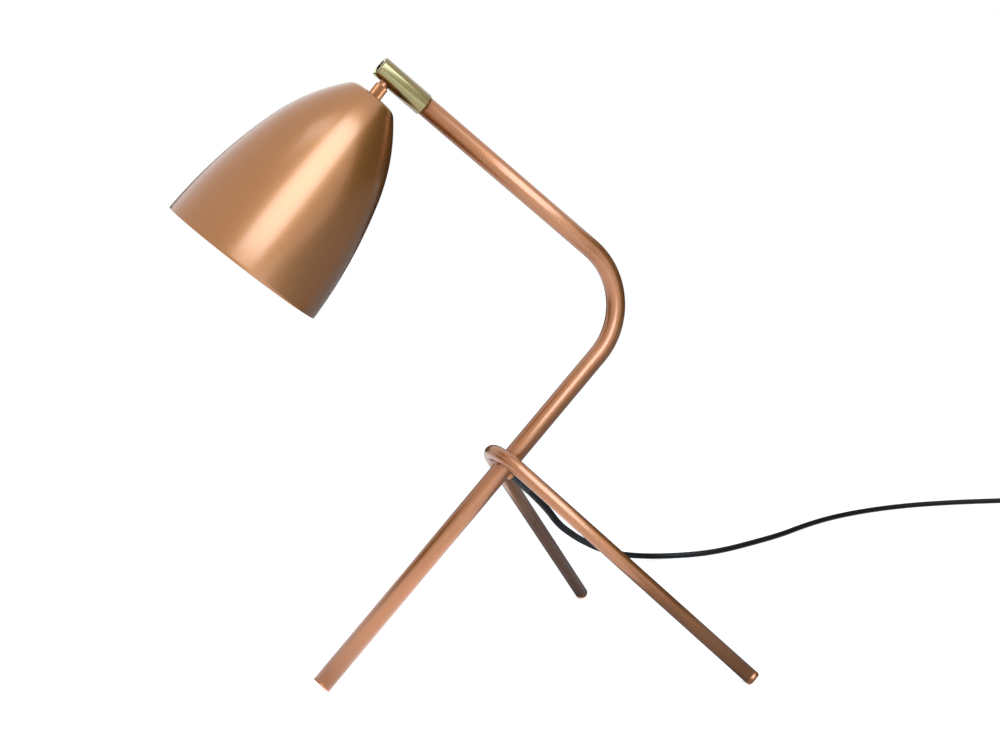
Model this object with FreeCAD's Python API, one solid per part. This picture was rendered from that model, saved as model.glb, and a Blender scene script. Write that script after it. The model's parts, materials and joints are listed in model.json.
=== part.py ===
import FreeCAD, Part
import math
import os

from FreeCAD import Placement, Rotation, Vector

# Table lamp on three legs: one bent tube is the front leg, the stem and the arm. A hairpin of
# thinner tube hangs over the stem and makes the two back legs. A slotted sleeve on the arm's end
# holds the ball of the shade's neck, so the shade tips, turns and swings round the arm.
# Lengths are in millimetres and angles in degrees. +Z is up, the stem and arm lie in the XZ plane.

# ---------------------------------------------------------------- stand
TUBE_D = 16.0            # stem and arm tube
TUBE_WALL = 1.2
STEM_RISE = 43.9         # stem above the table
STEM_RUN = 417.4         # front foot to the corner where stem and arm would cross
ARM_FALL = 40.1          # arm below the horizontal, seen from its ball
ARM_RUN = 284.8          # that corner to the centre of the ball
CORNER_R = 60.0          # bend between stem and arm, on the tube's centre line
ROD_D = 12.0             # hairpin tube
ROD_WALL = 1.2
ROD_CORNER_X = 137.2     # where the two back legs would meet, ahead of the hairpin's bend
ROD_CORNER_Z = 197.9
ROD_FOOT_X = 301.0       # back feet
ROD_FOOT_Y = 152.5
FOOT_FLAT = 0.4          # what is worn flat under each foot
ROD_GAP = 0.05           # hairpin's bend above the stem
WELD_D = 4.0
WELD_L = 9.0

# ---------------------------------------------------------------- foot plugs
PLUG_HEAD = 1.5          # head of the front plug, outside the tube
PLUG_REACH = 12.0        # spigot inside a tube
PLUG_SLACK = 0.05        # gap around a spigot
PLUG_ROUND = 2.0         # rounded edge of a back plug
BACK_PLUG_HEAD = 4.0

# ---------------------------------------------------------------- sleeve and ball joint
SLEEVE_D = 18.2
SLEEVE_TAIL = 34.6       # ball centre to the sleeve's back end
SLEEVE_NOSE = 11.4       # ball centre to the sleeve's front end
SLEEVE_ROUND = 1.3       # rounded lip at the front end
TUBE_INTO_SLEEVE = 15.5
RUN_FIT = 0.05           # radial gap of a turning fit
SHOULDER = 3.0           # web that the swivel bolt clamps
SHOULDER_GAP = 0.6       # end of the arm tube to that web
BALL_D = 14.6
CHAMBER_SLACK = 0.2      # radial gap of the chamber round the ball
SEAT_GAP = 0.06          # between the ball and its seats
NECK_D = 10.8            # knurled collar of the neck
SLOT_GAP = 0.3           # each side of the collar in the slot
NECK_L = 22.4            # ball centre to the shade
COLLAR_L = 12.0          # knurled stretch, up from the shade
WAIST_D = 8.2            # thinner stretch from there to the ball
NECK_BORE_D = 6.0        # for the wires
THREAD_D = 10.0
BORE_D = 7.0             # of the swivel bolt, for the wires
HEAD_ROLL = 10.0         # slot turned about the arm from straight down
SWIVEL_HEAD_T = 2.0      # head of the hollow swivel bolt
SWIVEL_WASHER_T = 0.35
INSERT_L = 10.0          # threaded insert in the arm tube's end
CUP_T = 3.6              # seat cup behind the ball
CUP_BORE_D = 7.2
SPRING_T = 0.6           # disc spring
SPRING_CONE = 0.5
SPRING_COUNT = 3

# ---------------------------------------------------------------- shade
SHADE_H = 163.0
SHADE_WALL = 1.0
RIM_R = 69.3
RIM_LEAN = 1.8           # the wall's lean at the rim, inwards going up
LOWER_ARC_R = 2.528      # long arc of the wall above the rim, its radius in shade heights
LOWER_ARC_H = 0.632      # height where it ends, in shade heights
UPPER_ARC_R = 0.991      # arc from there to the crown, in shade heights
CROWN_ROUND = 4.0        # rounded edge of the flat crown
CROWN_HOLE_SLACK = 0.15

# ---------------------------------------------------------------- lampholder and bulb
WASHER_T = 0.8
NUT_T = 3.0
NUT_AF = 14.0
HOLDER_TOP_R = 9.0
HOLDER_R = 18.5
HOLDER_CAP_H = 17.0
HOLDER_BODY_H = 36.0
HOLDER_WALL = 2.4
HOLDER_FLOOR = 4.0
SHELL_R = 13.9           # threaded socket shell
SHELL_T = 0.5
BULB_CAP_R = 13.2
BULB_CAP_H = 23.0
BULB_R = 22.5
BULB_NECK_R = 12.6
BULB_LIFT = 3.5          # holder floor to the bulb's contact
SHELL_OVER = 1.5         # shell beyond the bulb's cap
GLOBE_RISE = 31.0        # bulb's cap to the middle of its globe
CONTACT_L = 14.0
CONTACT_W = 5.0

# ---------------------------------------------------------------- cord
CORD_D = 6.0
CORE_D = 2.2             # one insulated core
EXIT_AT = 226.8          # along the stem, from the front foot
BUSH_D = 10.6
BUSH_PROUD = 2.5
BUSH_BORE_D = 6.8
BUSH_HOLE_D = 8.0
RELIEF_L = 20.0          # tapered sleeve outside the bush
RELIEF_D = 8.0
RELIEF_TIP_D = 6.5
CORE_BEND_R = 4.0
# Free stretch from the strain relief to the switch, points chosen by hand from the front foot
CORD_ROUTE = [
    (216.5, 14.5, 106.0), (247.4, 50.0, 85.8), (278.2, 93.0, 68.3), (313.6, 135.0, 49.3),
    (363.3, 202.8, 26.0), (400.4, 241.8, 11.0), (440.0, 252.0, 3.0), (478.0, 238.0, 3.0),
    (515.0, 240.0, 3.0), (560.0, 254.0, 3.0), (608.0, 271.0, 3.0), (655.0, 296.0, 3.0),
    (708.0, 317.0, 3.0), (765.0, 327.0, 3.0), (822.0, 325.0, 3.0), (877.0, 310.0, 3.0),
    (928.0, 287.0, 3.0), (966.0, 267.0, 3.0),
]
CORD_FIRST_RUN = 22.0    # straight out of the strain relief
SWITCH_HEADING = -28.0   # the cord's heading in plan where it enters the switch
SWITCH_LIFT = 30.0       # plan length of the two runs that rise to the switch
SWITCH_AXIS_Z = 6.6
# Put-away coil between the switch and the plug
COIL_OUTER_R = 37.5      # centre line of the widest turn
COIL_PITCH = 6.9         # radial and vertical step, from turn to turn
COIL_LAYER_TURNS = 1.25
COIL_CLIMB = 0.5         # turns in which the cord climbs and the spiral turns back
COIL_Z = 4.1             # centre line of the lower layer
COIL_LEAD = 42.0         # straight way from the switch to the first turn
COIL_TAIL = 40.0         # and from the last turn to the plug

# ---------------------------------------------------------------- switch on the cord
SWITCH_L = 58.0
SWITCH_W = 26.0
SWITCH_H = 17.0
SWITCH_WALL = 1.8
SWITCH_ROUND = 4.0
SWITCH_SPLIT = 7.6       # height of the parting line
ROCKER_L = 15.2
ROCKER_W = 10.0
ROCKER_GAP = 0.35
ROCKER_TILT = 7.0        # either way from level
ROCKER_PROUD = 0.9       # its ends above the cover, when level
ROCKER_PIVOT_Z = 11.0
ROCKER_PIN_D = 3.0
SCREW_D = 2.9
SCREW_HEAD_D = 5.2

# ---------------------------------------------------------------- plug
PLUG_W = 35.3            # flat two-pin plug for 18.6 mm pin spacing
PLUG_T = 13.7
PLUG_L = 34.0
PLUG_NECK_W = 11.0
PLUG_RELIEF_L = 26.0
PIN_SPACING = 18.6
PIN_D = 4.0
PIN_L = 19.0
PIN_SLEEVE_L = 10.0
PIN_SLEEVE_D = 3.8
PIN_CORE_D = 3.0         # pin inside its sleeve
PIN_ROOT = 6.0           # pin and sleeve inside the plug


X_AXIS, Y_AXIS, Z_AXIS = Vector(1, 0, 0), Vector(0, 1, 0), Vector(0, 0, 1)
TURN = 360.0
TURN_RAD = 2 * math.pi


def polar(angle):
    """Unit vector in the XZ plane at an angle above +X."""
    return Vector(math.cos(math.radians(angle)), 0, math.sin(math.radians(angle)))


def turned_about(vector, axis, angle):
    return Rotation(axis, angle).multVec(vector)


def mid_of_arc(start, tangent, end):
    """Middle point of the arc that leaves start along tangent and reaches end."""
    chord = end - start
    along = Vector(chord).normalize()
    side = tangent - along * tangent.dot(along)
    if side.Length < 1e-9:
        return start + chord * 0.5
    half_turn = tangent.getAngle(along)
    return start + chord * 0.5 + side.normalize() * (chord.Length / 2 * math.tan(half_turn / 2))


def rounded_path(points, radii):
    """Straight runs joined by tangent arcs; radii belong to the inner points."""
    edges = []
    start = points[0]
    for before, corner, after, radius in zip(points, points[1:], points[2:], radii):
        into = (corner - before).normalize()
        out = (after - corner).normalize()
        reach = radius * math.tan(into.getAngle(out) / 2)
        arc_start = corner - into * reach
        arc_end = corner + out * reach
        if (arc_start - start).Length > 1e-6:
            edges.append(Part.LineSegment(start, arc_start).toShape())
        edges.append(Part.Arc(arc_start, mid_of_arc(arc_start, into, arc_end), arc_end).toShape())
        start = arc_end
    edges.append(Part.LineSegment(start, points[-1]).toShape())
    return Part.Wire(edges)


def swept_round(path, start, direction, radius):
    ring = Part.Wire(Part.makeCircle(radius, start, direction))
    solid = path.makePipeShell([ring], True, False)
    return solid if solid.ShapeType == "Solid" else Part.Solid(Part.Shell(solid.Faces))


def rounded_outline(corners):
    """Closed wire in the XZ plane from (x, z) or (x, z, round) corners."""
    points = [Vector(corner[0], 0, corner[1]) for corner in corners]
    rounds = [corner[2] if len(corner) > 2 else 0.0 for corner in corners]
    count = len(points)
    trims = []
    for i in range(count):
        into = (points[i] - points[i - 1]).normalize()
        out = (points[(i + 1) % count] - points[i]).normalize()
        reach = rounds[i] * math.tan(into.getAngle(out) / 2)
        trims.append((points[i] - into * reach, points[i] + out * reach, into))
    edges = []
    for i in range(count):
        arc_start, arc_end, into = trims[i]
        if rounds[i] > 0:
            middle = mid_of_arc(arc_start, into, arc_end)
            edges.append(Part.Arc(arc_start, middle, arc_end).toShape())
        following = trims[(i + 1) % count][0]
        if (following - arc_end).Length > 1e-6:
            edges.append(Part.LineSegment(arc_end, following).toShape())
    return Part.Wire(edges)


def aimed(shape, base, direction, side=None):
    """Move a shape built on +Z so that +Z points along direction, and +X towards side."""
    if side is None:
        turn = Rotation(Z_AXIS, direction)
    else:
        turn = Rotation(side, direction.cross(side), direction, "ZXY")
    moved = shape.copy()
    moved.Placement = Placement(base, turn).multiply(shape.Placement)
    return moved


def lathe(corners, base, direction):
    """Solid of revolution from (radius, height) corners."""
    face = Part.Face(rounded_outline(corners))
    return aimed(face.revolve(Vector(), Z_AXIS, TURN), base, direction)


def rod(radius, base, direction, start, end):
    return Part.makeCylinder(radius, end - start, base + direction * start, direction)


def block(base, direction, side, length, width, height):
    """Box on base: length along side, width across, height along direction; centred in plan."""
    shape = Part.makeBox(length, width, height, Vector(-length / 2, -width / 2, 0))
    return aimed(shape, base, direction, side)


def below_table():
    """What the feet are cut by."""
    return Part.makeBox(1200, 1200, 50, Vector(-400, -600, -50))


# ---------------------------------------------------------------- frame of the stand
stem_dir = polar(STEM_RISE)
arm_dir = Vector(-math.cos(math.radians(ARM_FALL)), 0, math.sin(math.radians(ARM_FALL)))
under_stem = polar(STEM_RISE - 90)
front_foot = Vector(0, 0, TUBE_D / 2 * math.cos(math.radians(STEM_RISE)) - FOOT_FLAT)
corner = front_foot + stem_dir * STEM_RUN
ball = corner + arm_dir * ARM_RUN
tube_bore_r = TUBE_D / 2 - TUBE_WALL

# sleeve's own directions: out of the nose, down the neck, and the axis that the neck swings on
nose_dir = arm_dir
neck_dir = turned_about(polar(270 - ARM_FALL), nose_dir, -HEAD_ROLL)
swing_axis = neck_dir.cross(nose_dir)

tube_end = SLEEVE_TAIL - TUBE_INTO_SLEEVE              # behind the ball
web_back = tube_end - SHOULDER_GAP
web_front = web_back - SHOULDER

rod_corner = Vector(ROD_CORNER_X, 0, ROD_CORNER_Z)


def back_foot(side):
    """End centre of a back leg, set so that its rounded plug is FOOT_FLAT into the table."""
    height = 0.0
    for _ in range(4):
        end = Vector(ROD_FOOT_X, side * ROD_FOOT_Y, height)
        steep = (rod_corner - end).normalize().z
        level = math.sqrt(1 - steep * steep)
        height = PLUG_ROUND + (ROD_D / 2 - PLUG_ROUND) * level - PLUG_ROUND * steep - FOOT_FLAT
    return Vector(ROD_FOOT_X, side * ROD_FOOT_Y, height)


right_foot, left_foot = back_foot(-1), back_foot(1)
hairpin_dir = ((right_foot + left_foot) * 0.5 - rod_corner).normalize()
half_spread = hairpin_dir.getAngle(right_foot - rod_corner)
# distance from the corner, along the hairpin's middle, to the stem's centre line
to_stem = (front_foot - rod_corner).dot(under_stem) / hairpin_dir.dot(under_stem)
rest_gap = ((TUBE_D + ROD_D) / 2 + ROD_GAP) / abs(hairpin_dir.dot(under_stem))
# the bend is as wide as makes its inside rest on the stem
rod_bend_r = (to_stem - rest_gap) / (1 / math.sin(half_spread) - 1)
rod_apex = rod_corner + hairpin_dir * (to_stem - rest_gap)


def main_tube():
    start = front_foot + stem_dir * PLUG_HEAD
    path = rounded_path([start, corner, ball - nose_dir * tube_end], [CORNER_R])
    outer = swept_round(path, start, stem_dir, TUBE_D / 2)
    inner = swept_round(path, start, stem_dir, tube_bore_r)
    hole = rod(BUSH_HOLE_D / 2, front_foot + stem_dir * EXIT_AT, under_stem, 0, TUBE_D)
    return outer.cut(inner).cut(hole)


def leg_rod():
    up_right = (rod_corner - right_foot).normalize()
    up_left = (rod_corner - left_foot).normalize()
    start = right_foot + up_right * BACK_PLUG_HEAD
    end = left_foot + up_left * BACK_PLUG_HEAD
    path = rounded_path([start, rod_corner, end], [rod_bend_r])
    outer = swept_round(path, start, up_right, ROD_D / 2)
    inner = swept_round(path, start, up_right, ROD_D / 2 - ROD_WALL)
    return outer.cut(inner)


def weld_beads():
    """Two beads in the valleys where the hairpin's bend rests on the stem."""
    beads = []
    touch = rod_apex + under_stem * (ROD_D / 2)
    stem_core = rod(TUBE_D / 2, front_foot, stem_dir, 0, STEM_RUN)
    hairpin_core = Part.makeTorus(rod_bend_r, ROD_D / 2)
    hairpin_core = aimed(hairpin_core, rod_apex + hairpin_dir * rod_bend_r,
                         hairpin_dir.cross(Y_AXIS))
    for way in (-1, 1):
        centre = touch + stem_dir * (way * (WELD_D / 2 + ROD_D / 4)) - under_stem * (WELD_D / 4)
        bead = rod(WELD_D / 2, centre, Y_AXIS, -WELD_L / 2, WELD_L / 2)
        for end in (-WELD_L / 2, WELD_L / 2):
            bead = bead.fuse(Part.makeSphere(WELD_D / 2, centre + Y_AXIS * end))
        beads.append(bead.removeSplitter().cut(stem_core).cut(hairpin_core))
    return Part.makeCompound([solid for bead in beads for solid in bead.Solids])


def front_foot_plug():
    spigot_r = tube_bore_r - PLUG_SLACK
    plug = lathe([(0, 0), (TUBE_D / 2, 0, 0.4), (TUBE_D / 2, PLUG_HEAD, 0.2),
                  (spigot_r, PLUG_HEAD), (spigot_r, PLUG_HEAD + PLUG_REACH, 0.8),
                  (0, PLUG_HEAD + PLUG_REACH)], front_foot, stem_dir)
    return plug.cut(below_table())


def leg_foot_plugs():
    plugs = []
    spigot_r = ROD_D / 2 - ROD_WALL - PLUG_SLACK
    for foot in (right_foot, left_foot):
        up = (rod_corner - foot).normalize()
        plug = lathe([(0, 0), (ROD_D / 2, 0, PLUG_ROUND), (ROD_D / 2, BACK_PLUG_HEAD, 0.2),
                      (spigot_r, BACK_PLUG_HEAD), (spigot_r, BACK_PLUG_HEAD + PLUG_REACH, 0.6),
                      (0, BACK_PLUG_HEAD + PLUG_REACH)], foot, up)
        plugs.append(plug.cut(below_table()))
    return Part.makeCompound(plugs)


# ---------------------------------------------------------------- cord exit and inner wires
exit_point = front_foot + stem_dir * EXIT_AT
bush_face = TUBE_D / 2 + BUSH_PROUD


def cord_bush():
    """Flange that sits on the tube as a saddle, with a spigot through the tube's wall."""
    inside = tube_bore_r - 0.5
    flange = lathe([(0, inside), (BUSH_D / 2, inside), (BUSH_D / 2, bush_face, 0.8),
                    (0, bush_face)], exit_point, under_stem)
    flange = flange.cut(rod(TUBE_D / 2, front_foot, stem_dir, 0, STEM_RUN))
    spigot = rod(BUSH_HOLE_D / 2 - PLUG_SLACK, exit_point, under_stem, inside, TUBE_D / 2 + 0.5)
    bore = rod(BUSH_BORE_D / 2, exit_point, under_stem, 0, TUBE_D)
    return flange.fuse(spigot).removeSplitter().cut(bore)


def cord_relief():
    """Tapered black sleeve on the cord, its spigot held in the bush."""
    return lathe([(0, tube_bore_r - 0.5), (BUSH_BORE_D / 2 - PLUG_SLACK, tube_bore_r - 0.5),
                  (BUSH_BORE_D / 2 - PLUG_SLACK, bush_face), (RELIEF_D / 2, bush_face),
                  (RELIEF_D / 2, bush_face + 2.0, 0.5), (RELIEF_TIP_D / 2, bush_face + RELIEF_L, 0.2),
                  (0, bush_face + RELIEF_L)], exit_point, under_stem)


def stem_core(side):
    """One insulated core, from the cord's end in the bush up to the ball joint."""
    shift = Y_AXIS * (side * (CORE_D / 2 + 0.15))
    start = exit_point + under_stem * (tube_bore_r - 0.8) + shift
    end = ball - nose_dir * (BALL_D / 2 + 0.4) + shift
    path = rounded_path([start, exit_point + shift, corner + shift, end], [CORE_BEND_R, CORNER_R])
    return swept_round(path, start, under_stem * -1, CORE_D / 2)


def head_core(side):
    """One core from the ball's bore to the lampholder's terminals."""
    shift = swing_axis * (side * (CORE_D / 2 + 0.15))
    return rod(CORE_D / 2, ball + shift, neck_dir, 3.0, holder_floor_at - 1.0)


# ---------------------------------------------------------------- joint at the arm's end
slot_r = NECK_D / 2 + SLOT_GAP
chamber_r = BALL_D / 2 + CHAMBER_SLACK
seat_r = BALL_D / 2 + SEAT_GAP
washer_back = web_front - 0.05
bolt_head_back = washer_back - SWIVEL_WASHER_T
bolt_head_front = bolt_head_back - SWIVEL_HEAD_T
cup_front = slot_r + 0.2
cup_back = cup_front + CUP_T


def arm_insert():
    bore = rod(THREAD_D / 2, ball, nose_dir, -tube_end - INSERT_L, -tube_end)
    return rod(tube_bore_r, ball, nose_dir, -tube_end - INSERT_L, -tube_end).cut(bore)


def swivel_bolt():
    head = rod(chamber_r - 0.5, ball, nose_dir, -bolt_head_back, -bolt_head_front)
    shank = rod(THREAD_D / 2, ball, nose_dir, -tube_end - INSERT_L + 1.0, -bolt_head_back)
    bore = rod(BORE_D / 2, ball, nose_dir, -tube_end - INSERT_L, -bolt_head_front)
    return head.fuse(shank).cut(bore).removeSplitter()


def swivel_washer():
    ring = rod(chamber_r - 0.5, ball, nose_dir, -washer_back, -bolt_head_back)
    return ring.cut(rod(THREAD_D / 2 + 0.1, ball, nose_dir, -washer_back, -bolt_head_back))


def swivel_sleeve():
    nose_r = SLEEVE_D / 2
    body = lathe([(0, -SLEEVE_TAIL), (nose_r, -SLEEVE_TAIL, 0.4), (nose_r, SLEEVE_NOSE, SLEEVE_ROUND),
                  (0, SLEEVE_NOSE)], ball, nose_dir)
    body = body.cut(rod(TUBE_D / 2 + RUN_FIT, ball, nose_dir, -SLEEVE_TAIL, -web_back))
    body = body.cut(rod(THREAD_D / 2 + RUN_FIT * 2, ball, nose_dir, -web_back, -web_front))
    body = body.cut(rod(chamber_r, ball, nose_dir, -web_front, 0))
    body = body.cut(Part.makeSphere(seat_r, ball))
    # the mouth and the slot are as wide as the collar needs, so it can swing from side to end
    body = body.cut(rod(slot_r, ball, nose_dir, 0, SLEEVE_NOSE))
    body = body.cut(rod(slot_r, ball, neck_dir, 0, SLEEVE_D))
    middle = ball + nose_dir * (SLEEVE_NOSE / 2 + 1)
    return body.cut(block(middle, neck_dir, nose_dir, SLEEVE_NOSE + 2, slot_r * 2, SLEEVE_D))


def disc_springs():
    springs = []
    outer, inner = chamber_r - 0.3, CUP_BORE_D / 2 + 0.4
    step = SPRING_T + SPRING_CONE
    for k in range(SPRING_COUNT):
        low = 0.0 if k % 2 else SPRING_CONE
        high = SPRING_CONE - low
        ring = [(inner, low), (outer, high), (outer, high + SPRING_T), (inner, low + SPRING_T)]
        springs.append(lathe(ring, ball - nose_dir * (cup_back + 0.02 + step * (k + 1)), nose_dir))
    return Part.makeCompound(springs)


def ball_seat():
    cup = rod(chamber_r - 0.1, ball, nose_dir, -cup_back, -cup_front)
    cup = cup.cut(rod(CUP_BORE_D / 2, ball, nose_dir, -cup_back, -cup_front))
    return cup.cut(Part.makeSphere(seat_r, ball))


def ball_neck():
    """Ball, waist, collar and threaded end, turned in one piece and bored for the wires."""
    piece = Part.makeSphere(BALL_D / 2, ball)
    collar_at = NECK_L - COLLAR_L
    piece = piece.fuse(rod(WAIST_D / 2, ball, neck_dir, 0, collar_at + 1.0))
    piece = piece.fuse(lathe([(0, collar_at), (NECK_D / 2, collar_at, 0.4), (NECK_D / 2, NECK_L, 0.4),
                              (0, NECK_L)], ball, neck_dir))
    piece = piece.fuse(rod(THREAD_D / 2, ball, neck_dir, NECK_L - 1.0, thread_end))
    piece = piece.cut(rod(NECK_BORE_D / 2, ball, neck_dir, 0, thread_end))
    # way in for the wires, behind the ball at rest and over it when the neck points ahead
    wire_w = NECK_BORE_D * 0.9
    way_in = block(ball - neck_dir * (BALL_D / 4), neck_dir * -1, nose_dir, BALL_D, wire_w, BALL_D)
    way_in = way_in.fuse(block(ball - nose_dir * (BALL_D / 2), neck_dir * -1, nose_dir, BALL_D,
                               wire_w, BALL_D))
    return piece.removeSplitter().cut(way_in)


# ---------------------------------------------------------------- shade
lower_arc_r = SHADE_H * LOWER_ARC_R
lower_arc_h = SHADE_H * LOWER_ARC_H
upper_arc_r = SHADE_H * UPPER_ARC_R


def wall_point(z_up, inset):
    """Radius of the wall at a height above the rim, inset from its outer face."""
    lean = math.radians(RIM_LEAN)
    centre_x = RIM_R - lower_arc_r * math.cos(lean)
    centre_z = -lower_arc_r * math.sin(lean)
    joint = math.asin((lower_arc_h - centre_z) / lower_arc_r)
    if z_up <= lower_arc_h:
        radius = lower_arc_r - inset
        return centre_x + math.sqrt(radius ** 2 - (z_up - centre_z) ** 2)
    centre_x += (lower_arc_r - upper_arc_r) * math.cos(joint)
    centre_z += (lower_arc_r - upper_arc_r) * math.sin(joint)
    radius = upper_arc_r - inset
    return centre_x + math.sqrt(radius ** 2 - (z_up - centre_z) ** 2)


def wall_profile(inset, top):
    """Edges of one face of the wall, from the rim up to a flat top at height top."""
    def at(z_up):
        return Vector(wall_point(z_up, inset), 0, z_up)
    low, join = at(0), at(lower_arc_h)
    # the upper arc stops short of the crown, where a small arc takes over
    stop = top - CROWN_ROUND * 0.45
    end = at(stop)
    before = at(stop - 0.05)
    slope = (end - before).normalize()
    turn_left = Vector(-1, 0, 0).getAngle(slope)
    crown_in = (top - stop) / math.tan(turn_left / 2) if turn_left > 1e-3 else 1.0
    crown = Vector(end.x - crown_in, 0, top)
    arc_mid = mid_of_arc(end, slope, crown)
    edges = [Part.Arc(low, at(lower_arc_h / 2), join).toShape(),
             Part.Arc(join, at((lower_arc_h + stop) / 2), end).toShape(),
             Part.Arc(end, arc_mid, crown).toShape()]
    return edges, low, crown


def shade():
    """Thin spun bell with a flat crown, clamped between neck and lock nut."""
    outer, outer_rim, outer_crown = wall_profile(0.0, SHADE_H)
    inner, inner_rim, inner_crown = wall_profile(SHADE_WALL, SHADE_H - SHADE_WALL)
    hole_r = THREAD_D / 2 + CROWN_HOLE_SLACK
    hole_out = Vector(hole_r, 0, SHADE_H)
    hole_in = Vector(hole_r, 0, SHADE_H - SHADE_WALL)
    lines = [(outer_crown, hole_out), (hole_out, hole_in), (hole_in, inner_crown),
             (inner_rim, outer_rim)]
    edges = outer + inner + [Part.LineSegment(a, b).toShape() for a, b in lines]
    wire = Part.Wire(Part.__sortEdges__(edges))
    bell = Part.Face(wire).revolve(Vector(), Z_AXIS, TURN)
    return aimed(bell, ball + neck_dir * (NECK_L + SHADE_H), neck_dir * -1)


# ---------------------------------------------------------------- lampholder and bulb
nut_at = NECK_L + SHADE_WALL + WASHER_T
cap_at = nut_at + NUT_T + 0.4
body_at = cap_at + HOLDER_CAP_H
mouth_at = body_at + HOLDER_BODY_H
holder_floor_at = body_at + HOLDER_FLOOR
thread_end = cap_at + 10.0
bulb_at = holder_floor_at + BULB_LIFT


def lock_washer():
    ring = rod(NUT_AF / 2, ball, neck_dir, NECK_L + SHADE_WALL, nut_at)
    return ring.cut(rod(THREAD_D / 2, ball, neck_dir, NECK_L, nut_at))


def lock_nut():
    corners = [Vector(NUT_AF / math.sqrt(3) * math.cos(math.radians(60 * k)),
                      NUT_AF / math.sqrt(3) * math.sin(math.radians(60 * k)), 0) for k in range(6)]
    hexagon = Part.Face(Part.makePolygon(corners + corners[:1])).extrude(Z_AXIS * NUT_T)
    nut = aimed(hexagon, ball + neck_dir * nut_at, neck_dir)
    return nut.cut(rod(THREAD_D / 2, ball, neck_dir, nut_at, nut_at + NUT_T))


def holder_cap():
    """Domed top of the lampholder, screwed on the neck's thread."""
    inner_r = HOLDER_R - HOLDER_WALL
    return lathe([(THREAD_D / 2, 0), (HOLDER_TOP_R, 0, 1.0), (HOLDER_R, HOLDER_CAP_H * 0.6, 6.0),
                  (HOLDER_R, HOLDER_CAP_H), (inner_r, HOLDER_CAP_H),
                  (inner_r, HOLDER_CAP_H * 0.65, 4.0), (HOLDER_TOP_R, 10.0),
                  (THREAD_D / 2, 10.0)], ball + neck_dir * cap_at, neck_dir)


def holder_body():
    """Skirt of the lampholder with its floor."""
    inner_r = HOLDER_R - HOLDER_WALL
    return lathe([(0, 0), (HOLDER_R, 0), (HOLDER_R, HOLDER_BODY_H, 0.8),
                  (inner_r, HOLDER_BODY_H, 0.8), (inner_r, HOLDER_FLOOR), (0, HOLDER_FLOOR)],
                 ball + neck_dir * body_at, neck_dir).cut(core_holes())


def core_holes():
    """Holes in the holder's floor for the two cores."""
    holes = []
    for side in (-1, 1):
        shift = swing_axis * (side * (CORE_D / 2 + 0.15))
        holes.append(rod(CORE_D / 2, ball + shift, neck_dir, body_at - 1, holder_floor_at - 1.0))
    return holes[0].fuse(holes[1])


def holder_shell():
    """Threaded brass shell that the bulb's cap screws into."""
    top = BULB_LIFT + BULB_CAP_H + SHELL_OVER
    return lathe([(SHELL_R - SHELL_T, 0), (SHELL_R, 0), (SHELL_R, top, 0.2),
                  (SHELL_R - SHELL_T, top)], ball + neck_dir * holder_floor_at, neck_dir)


def holder_contact():
    """Sprung brass tongue under the bulb's centre."""
    base = ball + neck_dir * holder_floor_at
    foot = block(base, neck_dir, nose_dir, CONTACT_L, CONTACT_W, 0.6)
    tongue = block(base + nose_dir * 1.0 + neck_dir * 0.6, neck_dir, nose_dir, CONTACT_L / 2,
                   CONTACT_W, BULB_LIFT - 0.7)
    return foot.fuse(tongue).removeSplitter()


def bulb_contact():
    return lathe([(0, 0), (4.5, 0, 0.6), (4.5, 1.6), (0, 1.6)], ball + neck_dir * bulb_at, neck_dir)


def bulb_cap():
    return lathe([(0, 1.6), (6.0, 1.6), (BULB_CAP_R - 1.0, 5.5), (BULB_CAP_R, 7.0, 0.8),
                  (BULB_CAP_R, BULB_CAP_H), (0, BULB_CAP_H)], ball + neck_dir * bulb_at, neck_dir)


def bulb_glass():
    """Frosted globe that narrows to its cap."""
    globe_at = BULB_CAP_H + GLOBE_RISE
    neck_top = globe_at - math.sqrt(BULB_R ** 2 - (BULB_NECK_R + 4.0) ** 2)
    neck = lathe([(0, BULB_CAP_H), (BULB_NECK_R, BULB_CAP_H, 0.5), (BULB_NECK_R + 4.0, neck_top),
                  (0, neck_top)], ball + neck_dir * bulb_at, neck_dir)
    globe = Part.makeSphere(BULB_R, ball + neck_dir * (bulb_at + globe_at))
    return neck.fuse(globe).removeSplitter()


# ---------------------------------------------------------------- cord: free stretch
relief_end = exit_point + under_stem * (bush_face + RELIEF_L)
switch_dir = turned_about(X_AXIS, Z_AXIS, SWITCH_HEADING)
route = [relief_end, relief_end + under_stem * CORD_FIRST_RUN]
route += [Vector(*point) for point in CORD_ROUTE]
rise_top = route[-1] + switch_dir * SWITCH_LIFT
rise_top.z = SWITCH_AXIS_Z
switch_in = rise_top + switch_dir * (SWITCH_LIFT * 0.55)
route += [rise_top, switch_in]
switch_out = switch_in + switch_dir * SWITCH_L


def route_radii(points):
    radii = []
    for before, here, after in zip(points, points[1:], points[2:]):
        into, out = here - before, after - here
        shorter = min(into.Length, out.Length)
        radii.append(0.45 * shorter / math.tan(into.getAngle(out) / 2))
    return radii


def report_tube(name, solid, path):
    expected = math.pi * CORD_D ** 2 / 4 * path.Length
    print(name, "length %.1f" % path.Length, "volume/expected %.4f" % (solid.Volume / expected))


def cord_run():
    radii = route_radii(route)
    print("cord_run radii", " ".join("%.0f" % r for r in radii))
    path = rounded_path(route, radii)
    solid = swept_round(path, route[0], under_stem, CORD_D / 2)
    report_tube("cord_run", solid, path)
    return solid


# ---------------------------------------------------------------- cord: put-away coil
coil_start = switch_out + switch_dir * COIL_LEAD
coil_start.z = COIL_Z
coil_centre = coil_start + turned_about(switch_dir, Z_AXIS, -90) * COIL_OUTER_R
coil_centre.z = 0
coil_turns = COIL_LAYER_TURNS * 2 + COIL_CLIMB
coil_step = 0.25          # turns between two points of the coil


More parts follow.
